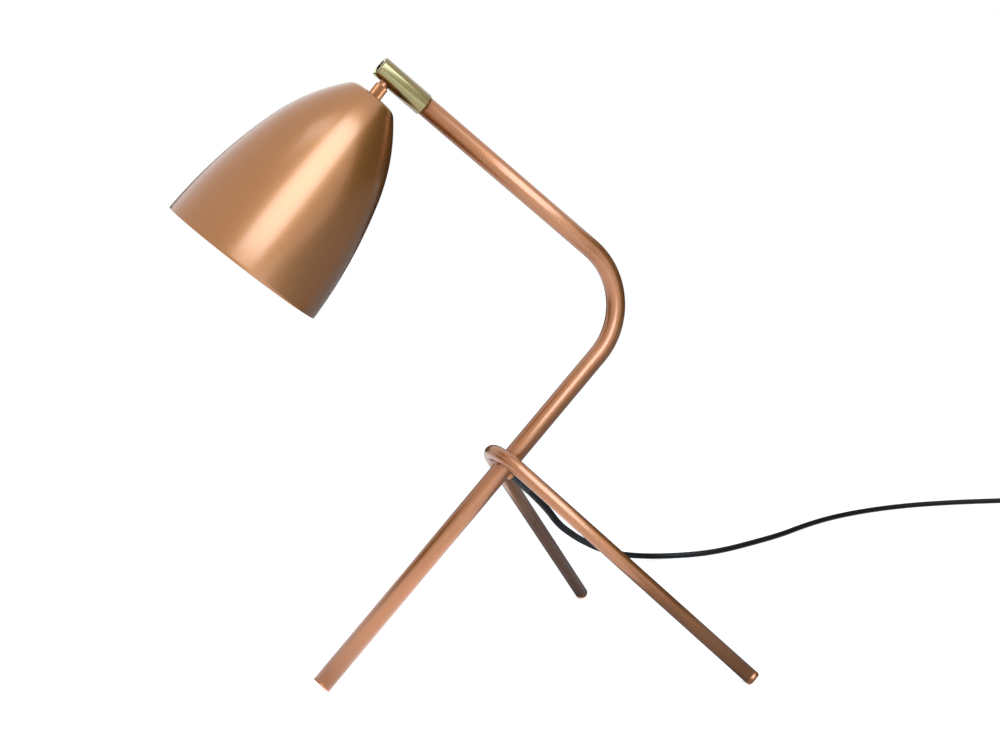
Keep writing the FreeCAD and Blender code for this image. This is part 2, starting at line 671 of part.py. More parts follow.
def coil_point(turns):
    """Centre line after a number of turns, clockwise from above: inwards, up, and out again."""
    radius = COIL_OUTER_R - COIL_PITCH * min(turns, coil_turns - turns)
    climbed = min(max((turns - COIL_LAYER_TURNS) / COIL_CLIMB, 0), 1)
    height = COIL_Z + COIL_PITCH * (climbed - math.sin(TURN_RAD * climbed) / TURN_RAD)
    angle = SWITCH_HEADING + 90 - TURN * turns
    return coil_centre + Vector(radius * math.cos(math.radians(angle)),
                                radius * math.sin(math.radians(angle)), height)


def coil_tangent(turns):
    step = 1e-4
    low, high = max(turns - step, 0), min(turns + step, coil_turns)
    return (coil_point(high) - coil_point(low)).normalize()


def biarc(start, start_dir, end, end_dir):
    """Two arcs that share a tangent, between two directed points."""
    way = end - start
    both = start_dir + end_dir
    a = 2 * (1 - start_dir.dot(end_dir))
    b = way.dot(both)
    c = way.dot(way)
    reach = c / (2 * b) if a < 1e-9 else (-b + math.sqrt(b * b + a * c)) / a
    first = start + start_dir * reach
    last = end - end_dir * reach
    joint = (first + last) * 0.5
    joint_dir = (last - first).normalize()
    return [Part.Arc(start, mid_of_arc(start, start_dir, joint), joint).toShape(),
            Part.Arc(joint, mid_of_arc(joint, joint_dir, end), end).toShape()]


plug_dir = coil_tangent(coil_turns)
plug_dir = Vector(plug_dir.x, plug_dir.y, 0).normalize()
coil_end = coil_point(coil_turns)
plug_in = coil_end + plug_dir * COIL_TAIL
plug_in.z = PLUG_T / 2


def coil_path():
    edges = []
    lead_from = switch_out + switch_dir * CORD_D
    edges.append(Part.LineSegment(switch_out, lead_from).toShape())
    edges += biarc(lead_from, switch_dir, coil_point(0), coil_tangent(0))
    stops = [0.0]
    while stops[-1] < coil_turns - 1e-6:
        stops.append(min(stops[-1] + coil_step, coil_turns))
    for low, high in zip(stops, stops[1:]):
        edges += biarc(coil_point(low), coil_tangent(low), coil_point(high), coil_tangent(high))
    tail_to = plug_in - plug_dir * CORD_D
    edges += biarc(coil_end, coil_tangent(coil_turns), tail_to, plug_dir)
    edges.append(Part.LineSegment(tail_to, plug_in).toShape())
    return Part.Wire(edges)


def cord_coil():
    path = coil_path()
    solid = swept_round(path, switch_out, switch_dir, CORD_D / 2)
    report_tube("cord_coil", solid, path)
    spots = path.discretize(Distance=2.0)
    apart = int(COIL_OUTER_R * 2 / 2.0)
    gap = min((spots[i] - spots[j]).Length for i in range(len(spots))
              for j in range(i + apart, len(spots))) - CORD_D
    print("cord_coil least gap to itself %.2f" % gap)
    return solid


def coil_tie():
    """Thin strap round the bundle of turns."""
    strap_t, strap_w, slack = 0.6, 8.0, 0.7
    strands = [coil_point(0.25 + k) - coil_centre for k in range(3)]
    reaches = [Vector(strand.x, strand.y, 0).Length for strand in strands]
    out = Vector(strands[0].x, strands[0].y, 0).normalize()
    inner_r = min(reaches) - CORD_D / 2 - slack
    outer_r = max(reaches) + CORD_D / 2 + slack
    width = outer_r - inner_r
    low = COIL_Z - CORD_D / 2 - slack * 0.5
    high = COIL_Z + COIL_PITCH + CORD_D / 2 + slack * 0.5
    middle = coil_centre + out * ((inner_r + outer_r) / 2)

    def frame_at(grow, round_r):
        corners = [(-width / 2 - grow, low - grow, round_r), (width / 2 + grow, low - grow, round_r),
                   (width / 2 + grow, high + grow, round_r), (-width / 2 - grow, high + grow, round_r)]
        face = Part.Face(rounded_outline(corners))
        return face.extrude(Y_AXIS * strap_w)
    strap = frame_at(strap_t, 2.6).cut(frame_at(0.0, 2.0))
    strap.translate(Y_AXIS * (-strap_w / 2))
    strap.Placement = Placement(middle, Rotation(X_AXIS, out)).multiply(strap.Placement)
    return strap


# ---------------------------------------------------------------- switch on the cord
switch_mid = Vector((switch_in.x + switch_out.x) / 2, (switch_in.y + switch_out.y) / 2, 0)
switch_side = turned_about(switch_dir, Z_AXIS, 90)
rocker_pivot = switch_mid + Z_AXIS * ROCKER_PIVOT_Z
rocker_top = SWITCH_H + ROCKER_PROUD - ROCKER_PIVOT_Z
# the window leaves room for the ends of the rocker as they swing
window_half = ROCKER_L / 2 + rocker_top * math.sin(math.radians(ROCKER_TILT)) + ROCKER_GAP


def switch_form(grow):
    """Rounded oblong of the switch, grown or shrunk all round."""
    length, width, height = SWITCH_L + 2 * grow, SWITCH_W + 2 * grow, SWITCH_H + 2 * grow
    box = Part.makeBox(length, width, height, Vector(-length / 2, -width / 2, -grow))
    upright = [e for e in box.Edges if abs(e.tangentAt(e.FirstParameter).z) > 0.9]
    box = box.makeFillet(SWITCH_ROUND + 3.0 + grow, upright)
    top = [e for e in box.Edges if e.BoundBox.ZMin > height - grow - 1e-3]
    return box.makeFillet(max(SWITCH_ROUND / 2 + grow, 0.3), top)


def on_switch(shape):
    moved = shape.copy()
    moved.Placement = Placement(switch_mid, Rotation(X_AXIS, switch_dir)).multiply(shape.Placement)
    return moved


def screw_places():
    return [Vector(side * (SWITCH_L / 2 - 9.0), across * (SWITCH_W / 2 - 5.0), 0)
            for side, across in ((-1, 1), (1, -1))]


def switch_halves():
    outer, hollow = switch_form(0.0), switch_form(-SWITCH_WALL)
    split = Part.makeBox(200, 200, 100, Vector(-100, -100, SWITCH_SPLIT))
    cord_way = Part.makeCylinder(CORD_D / 2 + 0.05, 200, Vector(-100, 0, SWITCH_AXIS_Z), X_AXIS)
    shell = outer.cut(hollow)
    for spot in screw_places():
        post = Part.makeCylinder(SCREW_D / 2 + 1.6, SWITCH_H - SWITCH_WALL, spot)
        shell = shell.fuse(post.common(outer))
    shell = shell.cut(cord_way)
    window = Part.makeBox(window_half * 2, ROCKER_W + 2 * ROCKER_GAP, SWITCH_H,
                          Vector(-window_half, -ROCKER_W / 2 - ROCKER_GAP, SWITCH_SPLIT))
    shell = shell.cut(window)
    for spot in screw_places():
        head = Part.makeCylinder(SCREW_HEAD_D / 2 + 0.15, 2.0, spot)
        hole = Part.makeCylinder(SCREW_D / 2, SWITCH_H - SWITCH_WALL - 1.0, spot)
        shell = shell.cut(head).cut(hole)
    ears = Part.makeBox(4.0, SWITCH_W - 2 * SWITCH_WALL, 6.0,
                        Vector(-2.0, -SWITCH_W / 2 + SWITCH_WALL, ROCKER_PIVOT_Z - 2.4))
    gap = Part.makeBox(20.0, ROCKER_W + 2 * ROCKER_GAP, 20.0,
                       Vector(-10.0, -ROCKER_W / 2 - ROCKER_GAP, 0))
    pin_way = Part.makeCylinder(ROCKER_PIN_D / 2 + RUN_FIT, SWITCH_W,
                                Vector(0, -SWITCH_W / 2, ROCKER_PIVOT_Z), Y_AXIS)
    pin_way = pin_way.common(switch_form(-SWITCH_WALL))
    cover = shell.common(split).fuse(ears.cut(gap)).removeSplitter().cut(pin_way)
    base = shell.cut(split)
    return on_switch(base), on_switch(cover)


def switch_rocker():
    """Rocker with a shallow valley on top, tipped on its cross pin; its far end stands up."""
    half = ROCKER_L / 2
    corners = [(-half, -2.0), (half, -2.0), (half, rocker_top, 0.6), (0, rocker_top - 0.7),
               (-half, rocker_top, 0.6)]
    body = Part.Face(rounded_outline(corners)).extrude(Y_AXIS * ROCKER_W)
    body.translate(Vector(0, -ROCKER_W / 2, 0))
    pin_l = SWITCH_W - 2 * SWITCH_WALL - 4.0
    pin = Part.makeCylinder(ROCKER_PIN_D / 2, pin_l, Vector(0, -pin_l / 2, 0), Y_AXIS)
    rocker = body.fuse(pin).removeSplitter()
    rocker.rotate(Vector(), Y_AXIS, -ROCKER_TILT)
    rocker.translate(Z_AXIS * ROCKER_PIVOT_Z)
    return on_switch(rocker)


def switch_screws():
    screws = []
    for spot in screw_places():
        head = Part.makeCylinder(SCREW_HEAD_D / 2, 1.4, spot + Z_AXIS * 0.5)
        cross = Part.makeBox(3.2, 0.7, 0.8, spot + Vector(-1.6, -0.35, 0.4))
        cross = cross.fuse(Part.makeBox(0.7, 3.2, 0.8, spot + Vector(-0.35, -1.6, 0.4)))
        shank = Part.makeCylinder(SCREW_D / 2 - 0.02, SWITCH_H - SWITCH_WALL - 4.0, spot + Z_AXIS * 1.9)
        screws.append(on_switch(head.fuse(shank).removeSplitter().cut(cross)))
    return Part.makeCompound(screws)


def switch_terminals():
    """Two brass screw terminals inside the switch."""
    blocks = []
    for side in (-1, 1):
        spot = Vector(side * 13.2, -3.2 * side, SWITCH_WALL + 0.05)
        post = Part.makeBox(7.0, 5.5, 7.0, spot + Vector(-3.5, -2.75, 0))
        hole = Part.makeCylinder(1.2, 10.0, spot + Vector(-5.0, 0, 3.0), X_AXIS)
        blocks.append(on_switch(post.cut(hole)))
    return Part.makeCompound(blocks)


# ---------------------------------------------------------------- plug
plug_side = turned_about(plug_dir, Z_AXIS, 90)
plug_body_at = plug_in + plug_dir * PLUG_RELIEF_L


def on_plug(shape, start):
    """Shape built along +X with its width on Y, moved to the plug."""
    moved = shape.copy()
    moved.Placement = Placement(start, Rotation(X_AXIS, plug_dir)).multiply(shape.Placement)
    return moved


def plug_section(x, width, height, round_r):
    """Rounded oblong across the plug's axis."""
    corners = [(-width / 2, -height / 2, round_r), (width / 2, -height / 2, round_r),
               (width / 2, height / 2, round_r), (-width / 2, height / 2, round_r)]
    wire = rounded_outline(corners)
    wire.Placement = Placement(Vector(x, 0, 0), Rotation(Z_AXIS, 90))
    return wire


def plug_relief():
    """Ribbed taper between cord and plug."""
    corners = [(0, 0), (CORD_D / 2 + 0.5, 0, 0.3)]
    ribs = 5
    for k in range(ribs):
        at = PLUG_RELIEF_L * (k + 0.45) / (ribs + 0.6)
        girth = CORD_D / 2 + 0.5 + (PLUG_NECK_W / 2 - CORD_D / 2 - 0.7) * (k + 0.5) / ribs
        corners += [(girth, at), (girth - 0.7, at + 0.3), (girth - 0.7, at + 1.6), (girth + 0.2, at + 1.9)]
    corners += [(PLUG_NECK_W / 2, PLUG_RELIEF_L), (0, PLUG_RELIEF_L)]
    return lathe(corners, plug_in, plug_dir)


def along_pins(radius, start, end):
    """Two cylinders on the pins' axes, between distances from the plug's rear end."""
    return [Part.makeCylinder(radius, end - start, Vector(start, side * PIN_SPACING / 2, 0), X_AXIS)
            for side in (-1, 1)]


def plug_body():
    """Flat body that widens from the cord to the pins."""
    stations = [(0.0, PLUG_NECK_W, PLUG_NECK_W - 0.6, 4.6),
                (PLUG_L * 0.45, PLUG_W * 0.72, PLUG_T, 5.4), (PLUG_L, PLUG_W, PLUG_T, 6.2)]
    body = Part.makeLoft([plug_section(*station) for station in stations], True, True)
    for root in along_pins(PIN_SLEEVE_D / 2, PLUG_L - PIN_ROOT, PLUG_L + 1.0):
        body = body.cut(root)
    return on_plug(body, plug_body_at)


def plug_pins():
    """Two pins, thinner where their insulating sleeves sit."""
    bare = along_pins(PIN_D / 2, PLUG_L + PIN_SLEEVE_L, PLUG_L + PIN_L)
    cores = along_pins(PIN_CORE_D / 2, PLUG_L - PIN_ROOT, PLUG_L + PIN_SLEEVE_L)
    pins = []
    for end, core in zip(bare, cores):
        tip = [e for e in end.Edges if e.BoundBox.XMin > PLUG_L + PIN_L - 1e-3]
        pin = end.makeFillet(PIN_D * 0.3, tip).fuse(core).removeSplitter()
        pins.append(on_plug(pin, plug_body_at))
    return Part.makeCompound(pins)


def plug_pin_sleeves():
    """Insulating sleeves on the inner part of the pins."""
    outer = along_pins(PIN_SLEEVE_D / 2, PLUG_L - PIN_ROOT, PLUG_L + PIN_SLEEVE_L)
    inner = along_pins(PIN_CORE_D / 2, PLUG_L - PIN_ROOT, PLUG_L + PIN_SLEEVE_L)
    return Part.makeCompound([on_plug(a.cut(b), plug_body_at) for a, b in zip(outer, inner)])


# ---------------------------------------------------------------- everything, and its origin
def build():
    base, cover = switch_halves()
    return {
        "main_tube": main_tube(), "leg_rod": leg_rod(), "weld_beads": weld_beads(),
        "front_foot_plug": front_foot_plug(), "leg_foot_plugs": leg_foot_plugs(),
        "cord_bush": cord_bush(), "cord_relief": cord_relief(),
        "stem_core_brown": stem_core(1), "stem_core_blue": stem_core(-1),
        "arm_insert": arm_insert(), "swivel_bolt": swivel_bolt(), "swivel_washer": swivel_washer(),
        "swivel_sleeve": swivel_sleeve(), "disc_springs": disc_springs(), "ball_seat": ball_seat(),
        "ball_neck": ball_neck(), "shade": shade(), "lock_washer": lock_washer(),
        "lock_nut": lock_nut(), "holder_cap": holder_cap(), "holder_body": holder_body(),
        "holder_shell": holder_shell(), "holder_contact": holder_contact(),
        "head_core_brown": head_core(1), "head_core_blue": head_core(-1),
        "bulb_contact": bulb_contact(), "bulb_cap": bulb_cap(), "bulb_glass": bulb_glass(),
        "cord_run": cord_run(), "cord_coil": cord_coil(), "coil_tie": coil_tie(),
        "switch_base": base, "switch_cover": cover, "switch_rocker": switch_rocker(),
        "switch_screws": switch_screws(), "switch_terminals": switch_terminals(),
        "plug_relief": plug_relief(), "plug_body": plug_body(), "plug_pins": plug_pins(),
        "plug_pin_sleeves": plug_pin_sleeves(),
    }


def footprint_shift(parts):
    """From the front foot to the middle of the lamp's own box, cord left out."""
    lamp = ["main_tube", "leg_rod", "leg_foot_plugs", "front_foot_plug", "shade", "swivel_sleeve"]
    boxes = [parts[name].optimalBoundingBox(False, False) for name in lamp]
    low_x, high_x = min(box.XMin for box in boxes), max(box.XMax for box in boxes)
    low_y, high_y = min(box.YMin for box in boxes), max(box.YMax for box in boxes)
    return Vector(-(low_x + high_x) / 2, -(low_y + high_y) / 2, 0)


parts = build()
shift = footprint_shift(parts)
os.makedirs("parts", exist_ok=True)
for name, shape in parts.items():
    shape.translate(shift)
    shape.exportStep("parts/" + name + ".step")
print("origin is %.3f mm behind the front foot's centre" % -shift.x)
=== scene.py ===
import json
import math

import bmesh
import bpy
from mathutils import Matrix, Vector


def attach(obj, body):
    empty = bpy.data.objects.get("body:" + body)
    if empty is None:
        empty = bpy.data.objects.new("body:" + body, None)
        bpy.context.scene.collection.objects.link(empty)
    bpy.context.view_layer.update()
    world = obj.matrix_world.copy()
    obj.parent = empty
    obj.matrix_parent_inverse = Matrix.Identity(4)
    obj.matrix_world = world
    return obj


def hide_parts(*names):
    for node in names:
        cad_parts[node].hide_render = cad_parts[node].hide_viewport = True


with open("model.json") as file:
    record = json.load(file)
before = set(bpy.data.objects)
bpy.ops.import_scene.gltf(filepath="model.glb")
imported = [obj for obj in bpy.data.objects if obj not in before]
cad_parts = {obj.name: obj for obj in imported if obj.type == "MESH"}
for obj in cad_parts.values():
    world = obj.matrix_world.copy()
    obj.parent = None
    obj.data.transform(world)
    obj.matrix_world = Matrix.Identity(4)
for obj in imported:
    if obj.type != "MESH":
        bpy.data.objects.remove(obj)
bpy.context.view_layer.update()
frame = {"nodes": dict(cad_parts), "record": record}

# ---------------------------------------------------------------- camera
# A 50 mm lens a little over a metre away, slightly above the shade's rim and looking down a few
# degrees. The rows are the camera's right, up and back in the lamp's own directions.
camera_data = bpy.data.cameras.new("camera")
camera_data.sensor_width, camera_data.lens = 36.0, 50.217
camera = bpy.data.objects.new("camera", camera_data)
bpy.context.scene.collection.objects.link(camera)
camera_right = Vector((0.92388, -0.3801, -0.04426))
camera_up = Vector((0.0774, 0.07236, 0.99437))
camera_back = Vector((-0.37476, -0.92211, 0.09627))
camera.matrix_world = Matrix.Translation((-0.37103, -1.04822, 0.34784)) @ Matrix(
    (camera_right, camera_up, camera_back)).transposed().to_4x4()
bpy.context.scene.camera = camera
bpy.context.scene.view_settings.view_transform = "Standard"

# ---------------------------------------------------------------- cord
# A two-core flexible lead, 6 mm across, in a matt black PVC sheath that was extruded over the
# cores. It leaves the stem's underside, falls between the back legs and runs along the table.
MM = 0.001
CORD_D = 6.0 * MM


def srgb(code):
    """Linear colour from a hex code."""
    parts = [int(code[i:i + 2], 16) / 255 for i in (1, 3, 5)]
    return (*[p / 12.92 if p <= 0.04045 else ((p + 0.055) / 1.055) ** 2.4 for p in parts], 1.0)


def add_node(tree, kind, links=None, **settings):
    """A node with its settings; links maps an input to a value or to another node's output."""
    node = tree.nodes.new(kind)
    for key, value in settings.items():
        setattr(node, key, value)
    for socket, value in (links or {}).items():
        if isinstance(value, bpy.types.NodeSocket):
            tree.links.new(value, node.inputs[socket])
        else:
            node.inputs[socket].default_value = value
    return node


def new_surface(name, **values):
    """A material with one Principled shader, whose constant values go on its own sockets."""
    material = bpy.data.materials.new(name)
    material.use_nodes = True
    tree = material.node_tree
    tree.nodes.clear()
    shader = add_node(tree, "ShaderNodeBsdfPrincipled")
    for key, value in values.items():
        shader.inputs[key.replace("_", " ")].default_value = value
    add_node(tree, "ShaderNodeOutputMaterial", {"Surface": shader.outputs[0]})
    return material, tree, shader


def worn_by(tree, shader, tone, gloss, relief, colours, rough, strength, depth):
    """Lets three patterns vary a finish's colour, its roughness and its fine relief."""
    dark, light = colours
    mixed = add_node(tree, "ShaderNodeMix", {"Factor": tone, "A": srgb(dark), "B": srgb(light)},
                     data_type="RGBA")
    matt = add_node(tree, "ShaderNodeMapRange", {"Value": gloss, "From Min": 0.3, "From Max": 0.7,
                                                 "To Min": rough[0], "To Max": rough[1]})
    bump = add_node(tree, "ShaderNodeBump", {"Height": relief, "Strength": strength,
                                             "Distance": depth})
    tree.links.new(mixed.outputs["Result"], shader.inputs["Base Color"])
    tree.links.new(matt.outputs[0], shader.inputs["Roughness"])
    tree.links.new(bump.outputs[0], shader.inputs["Normal"])


# Extruded PVC: near black with a soft sheen. Its grain of 0.2 mm is drawn at 1.1 mm, and patches
# 45 mm long are where hands have rubbed it a little shinier.
SHEATH_GRAIN, SHEATH_PATCH = 1.11 * MM, 45.5 * MM
cord_sheath, tree, shader = new_surface("extruded_pvc_sheath", Specular_IOR_Level=0.25)
place = add_node(tree, "ShaderNodeTexCoord").outputs["Object"]
grain = add_node(tree, "ShaderNodeTexNoise", {"Vector": place, "Scale": 1 / SHEATH_GRAIN,
                                              "Detail": 3.0}).outputs[0]
patches = add_node(tree, "ShaderNodeTexNoise", {"Vector": place, "Scale": 1 / SHEATH_PATCH,
                                                "Detail": 2.0}).outputs[0]
worn_by(tree, shader, patches, patches, grain, ("#13100e", "#1a1614"), (0.44, 0.56), 0.25,
        0.05 * MM)


def cord_piece(name, points):
    """A round lead along a smooth spline that follows the points."""
    curve = bpy.data.curves.new(name, "CURVE")
    curve.dimensions, curve.resolution_u = "3D", 12
    curve.bevel_depth, curve.bevel_resolution, curve.use_fill_caps = CORD_D / 2, 8, True
    spline = curve.splines.new("NURBS")
    spline.points.add(len(points) - 1)
    for spot, point in zip(spline.points, points):
        spot.co = (*point, 1.0)
    spline.order_u = 3
    spline.use_endpoint_u = True
    curve.materials.append(cord_sheath)
    piece = bpy.data.objects.new(name, curve)
    bpy.context.scene.collection.objects.link(piece)
    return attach(piece, "stand")


CORD_ROUTE = [
    (0.07609, 0.0, 0.14065), (0.09134, 0.0, 0.1248), (0.10802, 0.0145, 0.106),
    (0.13892, 0.05, 0.0858), (0.16972, 0.093, 0.0683), (0.20512, 0.135, 0.0493),
    (0.25482, 0.2028, 0.026), (0.29192, 0.2418, 0.011), (0.33152, 0.252, 0.003),
    (0.36952, 0.238, 0.003), (0.40652, 0.24, 0.003), (0.45152, 0.254, 0.003),
    (0.49952, 0.271, 0.003), (0.54652, 0.296, 0.003), (0.59952, 0.317, 0.003),
    (0.65652, 0.327, 0.003), (0.71352, 0.325, 0.003), (0.76852, 0.31, 0.003),
    (0.81952, 0.287, 0.003), (0.85752, 0.267, 0.003), (0.88401, 0.25292, 0.0066),
    (0.89858, 0.24517, 0.0066),
]
cord_run = cord_piece("cord_from_stem", CORD_ROUTE)
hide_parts("cord_run")

# The spare length past the switch is wound up in two layers, in from the outside and out again.
SWITCH_OUT = Vector((0.94979, 0.21794, 0.0066))
SWITCH_DIR = Vector((0.882948, -0.469472, 0.0))
COIL_CENTRE = Vector((0.96927, 0.16511, 0.0))
COIL_OUTER_R, COIL_PITCH, COIL_Z = 37.5 * MM, 6.9 * MM, 4.1 * MM
COIL_LAYER_TURNS, COIL_CLIMB = 1.25, 0.5
COIL_TURNS = 2 * COIL_LAYER_TURNS + COIL_CLIMB
COIL_START = math.radians(62.0)
PLUG_IN = Vector((1.02273, 0.1805, 0.00685))
PLUG_DIR = Vector((0.896451, -0.443143, 0.0))
LEAD_RUN, LEAD_DIP = 20 * MM, Vector((0, 0, 1.2 * MM))
coil_points = [SWITCH_OUT, SWITCH_OUT + SWITCH_DIR * CORD_D,
               SWITCH_OUT + SWITCH_DIR * LEAD_RUN - LEAD_DIP]
steps_a_turn = 16
for step in range(int(COIL_TURNS * steps_a_turn) + 1):
    turns = step / steps_a_turn
    radius = COIL_OUTER_R - COIL_PITCH * min(turns, COIL_TURNS - turns)
    # the spline cuts inside its points, which lie a little further out for that
    radius /= math.cos(math.pi / steps_a_turn) ** 0.5
    climbed = min(max((turns - COIL_LAYER_TURNS) / COIL_CLIMB, 0), 1)
    height = COIL_Z + COIL_PITCH * (climbed - math.sin(math.tau * climbed) / math.tau)
    angle = COIL_START - math.tau * turns
    coil_points.append(COIL_CENTRE + Vector((radius * math.cos(angle), radius * math.sin(angle),
                                             height)))
coil_points += [PLUG_IN - PLUG_DIR * LEAD_RUN + LEAD_DIP, PLUG_IN - PLUG_DIR * CORD_D, PLUG_IN]
cord_coil = cord_piece("cord_coil_wound", coil_points)
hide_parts("cord_coil")

# ---------------------------------------------------------------- studio
# A white sweep, a long soft box in front that leans over to the right, a small one above, and
# cards and boards that only reflections see, as set up to draw the edges of metal tubes.
floor_mesh = bpy.data.meshes.new("floor")
floor_mesh.from_pydata([(-9, -9, 0), (9, -9, 0), (9, 9, 0), (-9, 9, 0)], [], [(0, 1, 2, 3)])
floor = bpy.data.objects.new("floor", floor_mesh)
bpy.context.scene.collection.objects.link(floor)
sweep, tree, shader = new_surface("white_paper_sweep", Base_Color=srgb("#f4f4f4"), Roughness=0.9,
                                  Specular_IOR_Level=0.1)
floor_mesh.materials.append(sweep)


def seen_directly(tree):
    """1 for camera, glossy and transmission rays, which see the backdrop itself."""
    rays = add_node(tree, "ShaderNodeLightPath").outputs
    seen = add_node(tree, "ShaderNodeMath", {0: rays["Is Camera Ray"], 1: rays["Is Glossy Ray"]},
                    operation="MAXIMUM")
    seen = add_node(tree, "ShaderNodeMath", {0: seen.outputs[0], 1: rays["Is Transmission Ray"]},
                    operation="MAXIMUM")
    return seen.outputs[0]


# the paper's own glow shows only to such rays, and leaves the shadow on it
PAPER_GLOW = 0.66
glow = add_node(tree, "ShaderNodeMath", {0: seen_directly(tree), 1: PAPER_GLOW},
                operation="MULTIPLY")
tree.links.new(glow.outputs[0], shader.inputs["Emission Strength"])
shader.inputs["Emission Color"].default_value = (1, 1, 1, 1)

WORLD_LEVEL = 0.38
world = bpy.data.worlds.new("studio")
world.use_nodes = True
bpy.context.scene.world = world
tree = world.node_tree
tree.nodes.clear()
level = add_node(tree, "ShaderNodeMapRange", {"Value": seen_directly(tree), "To Min": WORLD_LEVEL,
                                              "To Max": 1.0})
backdrop = add_node(tree, "ShaderNodeBackground", {"Color": (1, 1, 1, 1),
                                                   "Strength": level.outputs[0]})
add_node(tree, "ShaderNodeOutputWorld", {"Surface": backdrop.outputs[0]})

SHADE_MIDDLE = Vector((-0.09, 0.02, 0.40))
# a little cool, so that the copper's highlight turns out cream and not orange
LAMP_TINT = (0.60, 0.80, 1.0)


def soft_box(name, low, high, width, power):
    """A box lamp whose long side runs from low to high, and that faces the shade."""
    low, high = Vector(low), Vector(high)
    middle = (low + high) / 2
    back = (middle - SHADE_MIDDLE).normalized()
    along = (high - low) - back * (high - low).dot(back)
    lamp = bpy.data.lights.new(name, "AREA")
    lamp.shape, lamp.size, lamp.size_y, lamp.energy = "RECTANGLE", width, along.length, power
    lamp.color = LAMP_TINT
    holder = bpy.data.objects.new(name, lamp)
    bpy.context.scene.collection.objects.link(holder)
    along.normalize()
    holder.matrix_world = Matrix.Translation(middle) @ Matrix(
        (along.cross(back), along, back)).transposed().to_4x4()
    holder.visible_camera = False


soft_box("key_box", (-0.50, -1.42, 0.42), (0.60, -0.88, 1.44), 0.80, 21.5)
soft_box("top_box", (-0.298, -0.746, 1.326), (-0.152, -0.432, 1.526), 0.46, 1.15)

# Matt card in two tones, and a board that glows evenly by itself.
black_card = new_surface("black_card", Base_Color=srgb("#0c0a09"), Roughness=1.0,
                         Specular_IOR_Level=0.0)[0]
grey_card = new_surface("grey_card", Base_Color=srgb("#a8a8a8"), Roughness=1.0,
                        Specular_IOR_Level=0.0)[0]
lit_board = new_surface("lit_white_board", Base_Color=srgb("#000000"), Specular_IOR_Level=0.0,
                        Emission_Color=(1, 1, 1, 1), Emission_Strength=1.7)[0]


def reflected_card(name, corners, finish):
    """A flat card that only reflections see."""
    mesh = bpy.data.meshes.new(name)
    mesh.from_pydata(corners, [], [(0, 1, 2, 3)])
    mesh.materials.append(finish)
    card = bpy.data.objects.new(name, mesh)
    bpy.context.scene.collection.objects.link(card)
    card.visible_camera = card.visible_diffuse = card.visible_shadow = False
    card.visible_transmission = False


for name, (x0, y0), (x1, y1), height in (("card_back", (-0.9, 2.0), (2.6, 0.6), 0.9),
                                         ("card_left", (-2.2, -0.2), (-1.8, 1.4), 0.8),
                                         ("card_right", (1.3, -1.4), (2.0, 1.7), 1.3)):
    reflected_card(name, [(x0, y0, 0), (x1, y1, 0), (x1, y1, height), (x0, y0, height)], black_card)
LAID_AT = 2 * MM
for name, (x0, y0), (x1, y1), finish in (("card_under", (0.10, -1.0), (1.6, 1.2), grey_card),
                                         ("card_front", (-0.35, -0.08), (0.06, 0.05), lit_board)):
    reflected_card(name, [(x0, y0, LAID_AT), (x1, y0, LAID_AT), (x1, y1, LAID_AT),
                          (x0, y1, LAID_AT)], finish)

# ---------------------------------------------------------------- stem, arm and hairpin legs
# Welded steel tube, 16 mm for the stem and arm and 12 mm for the legs, cold bent on a mandrel,
# polished along its length and copper plated under a clear satin lacquer.
FRONT_FOOT = Vector((-0.10848, 0.0, 0.00536))
STEM_DIR = Vector((0.720551, 0.0, 0.693402))
ARM_DIR = Vector((-0.764921, 0.0, 0.644124))
STEM_L, ARM_L, SLEEVE_L = 417.4 * MM, 284.8 * MM, 19.1 * MM
CORNER = FRONT_FOOT + STEM_DIR * STEM_L
BALL = CORNER + ARM_DIR * ARM_L
TUBE_R, TUBE_WALL, TUBE_BEND = 8.0 * MM, 1.2 * MM, 60.0 * MM
ROD_R, ROD_BEND = 6.0 * MM, 31.345 * MM
FRONT_CAP_H, BACK_CAP_H = 1.5 * MM, 4.0 * MM
ROD_CORNER = Vector((0.02872, 0.0, 0.1979))
BACK_FEET = [Vector((0.19252, side * 0.1525, 0.00331)) for side in (-1, 1)]

# Copper plate under satin lacquer. The tube was polished lengthwise: its lines are some 0.1 mm
# apart and drawn at 0.6 mm, and the lacquer's thicker patches are cloudier and a little darker.
LINE_GAP, CLOUD = 0.625 * MM, 22.2 * MM
satin_copper, tree, shader = new_surface("satin_copper_plate", Metallic=0.7, Coat_Weight=1.0,
                                         Coat_Roughness=0.2, Coat_IOR=1.6)
rounded = add_node(tree, "ShaderNodeAttribute", attribute_name="around").outputs["Vector"]
along = add_node(tree, "ShaderNodeAttribute", attribute_name="along").outputs["Fac"]
across_way = add_node(tree, "ShaderNodeSeparateXYZ", {0: rounded}).outputs
# a line is some thirty times as long as it is wide
drawn_out = add_node(tree, "ShaderNodeMath", {0: along, 1: 0.03}, operation="MULTIPLY")
lengthwise = add_node(tree, "ShaderNodeCombineXYZ", {0: across_way[0], 1: across_way[1],
                                                     2: drawn_out.outputs[0]})
lines = add_node(tree, "ShaderNodeTexNoise", {"Vector": lengthwise.outputs[0],
                                              "Scale": 1 / LINE_GAP, "Detail": 2.0}).outputs[0]
place = add_node(tree, "ShaderNodeTexCoord").outputs["Object"]
clouds = add_node(tree, "ShaderNodeTexNoise", {"Vector": place, "Scale": 1 / CLOUD, "Detail": 4.0})
mixed = add_node(tree, "ShaderNodeMix", {"Factor": 0.4, "A": clouds.outputs[0], "B": lines},
                 data_type="FLOAT").outputs[0]
COPPER_TONES = "#9c5a2c", "#b87440"
worn_by(tree, shader, mixed, mixed, lines, COPPER_TONES, (0.33, 0.41), 0.15, 0.02 * MM)


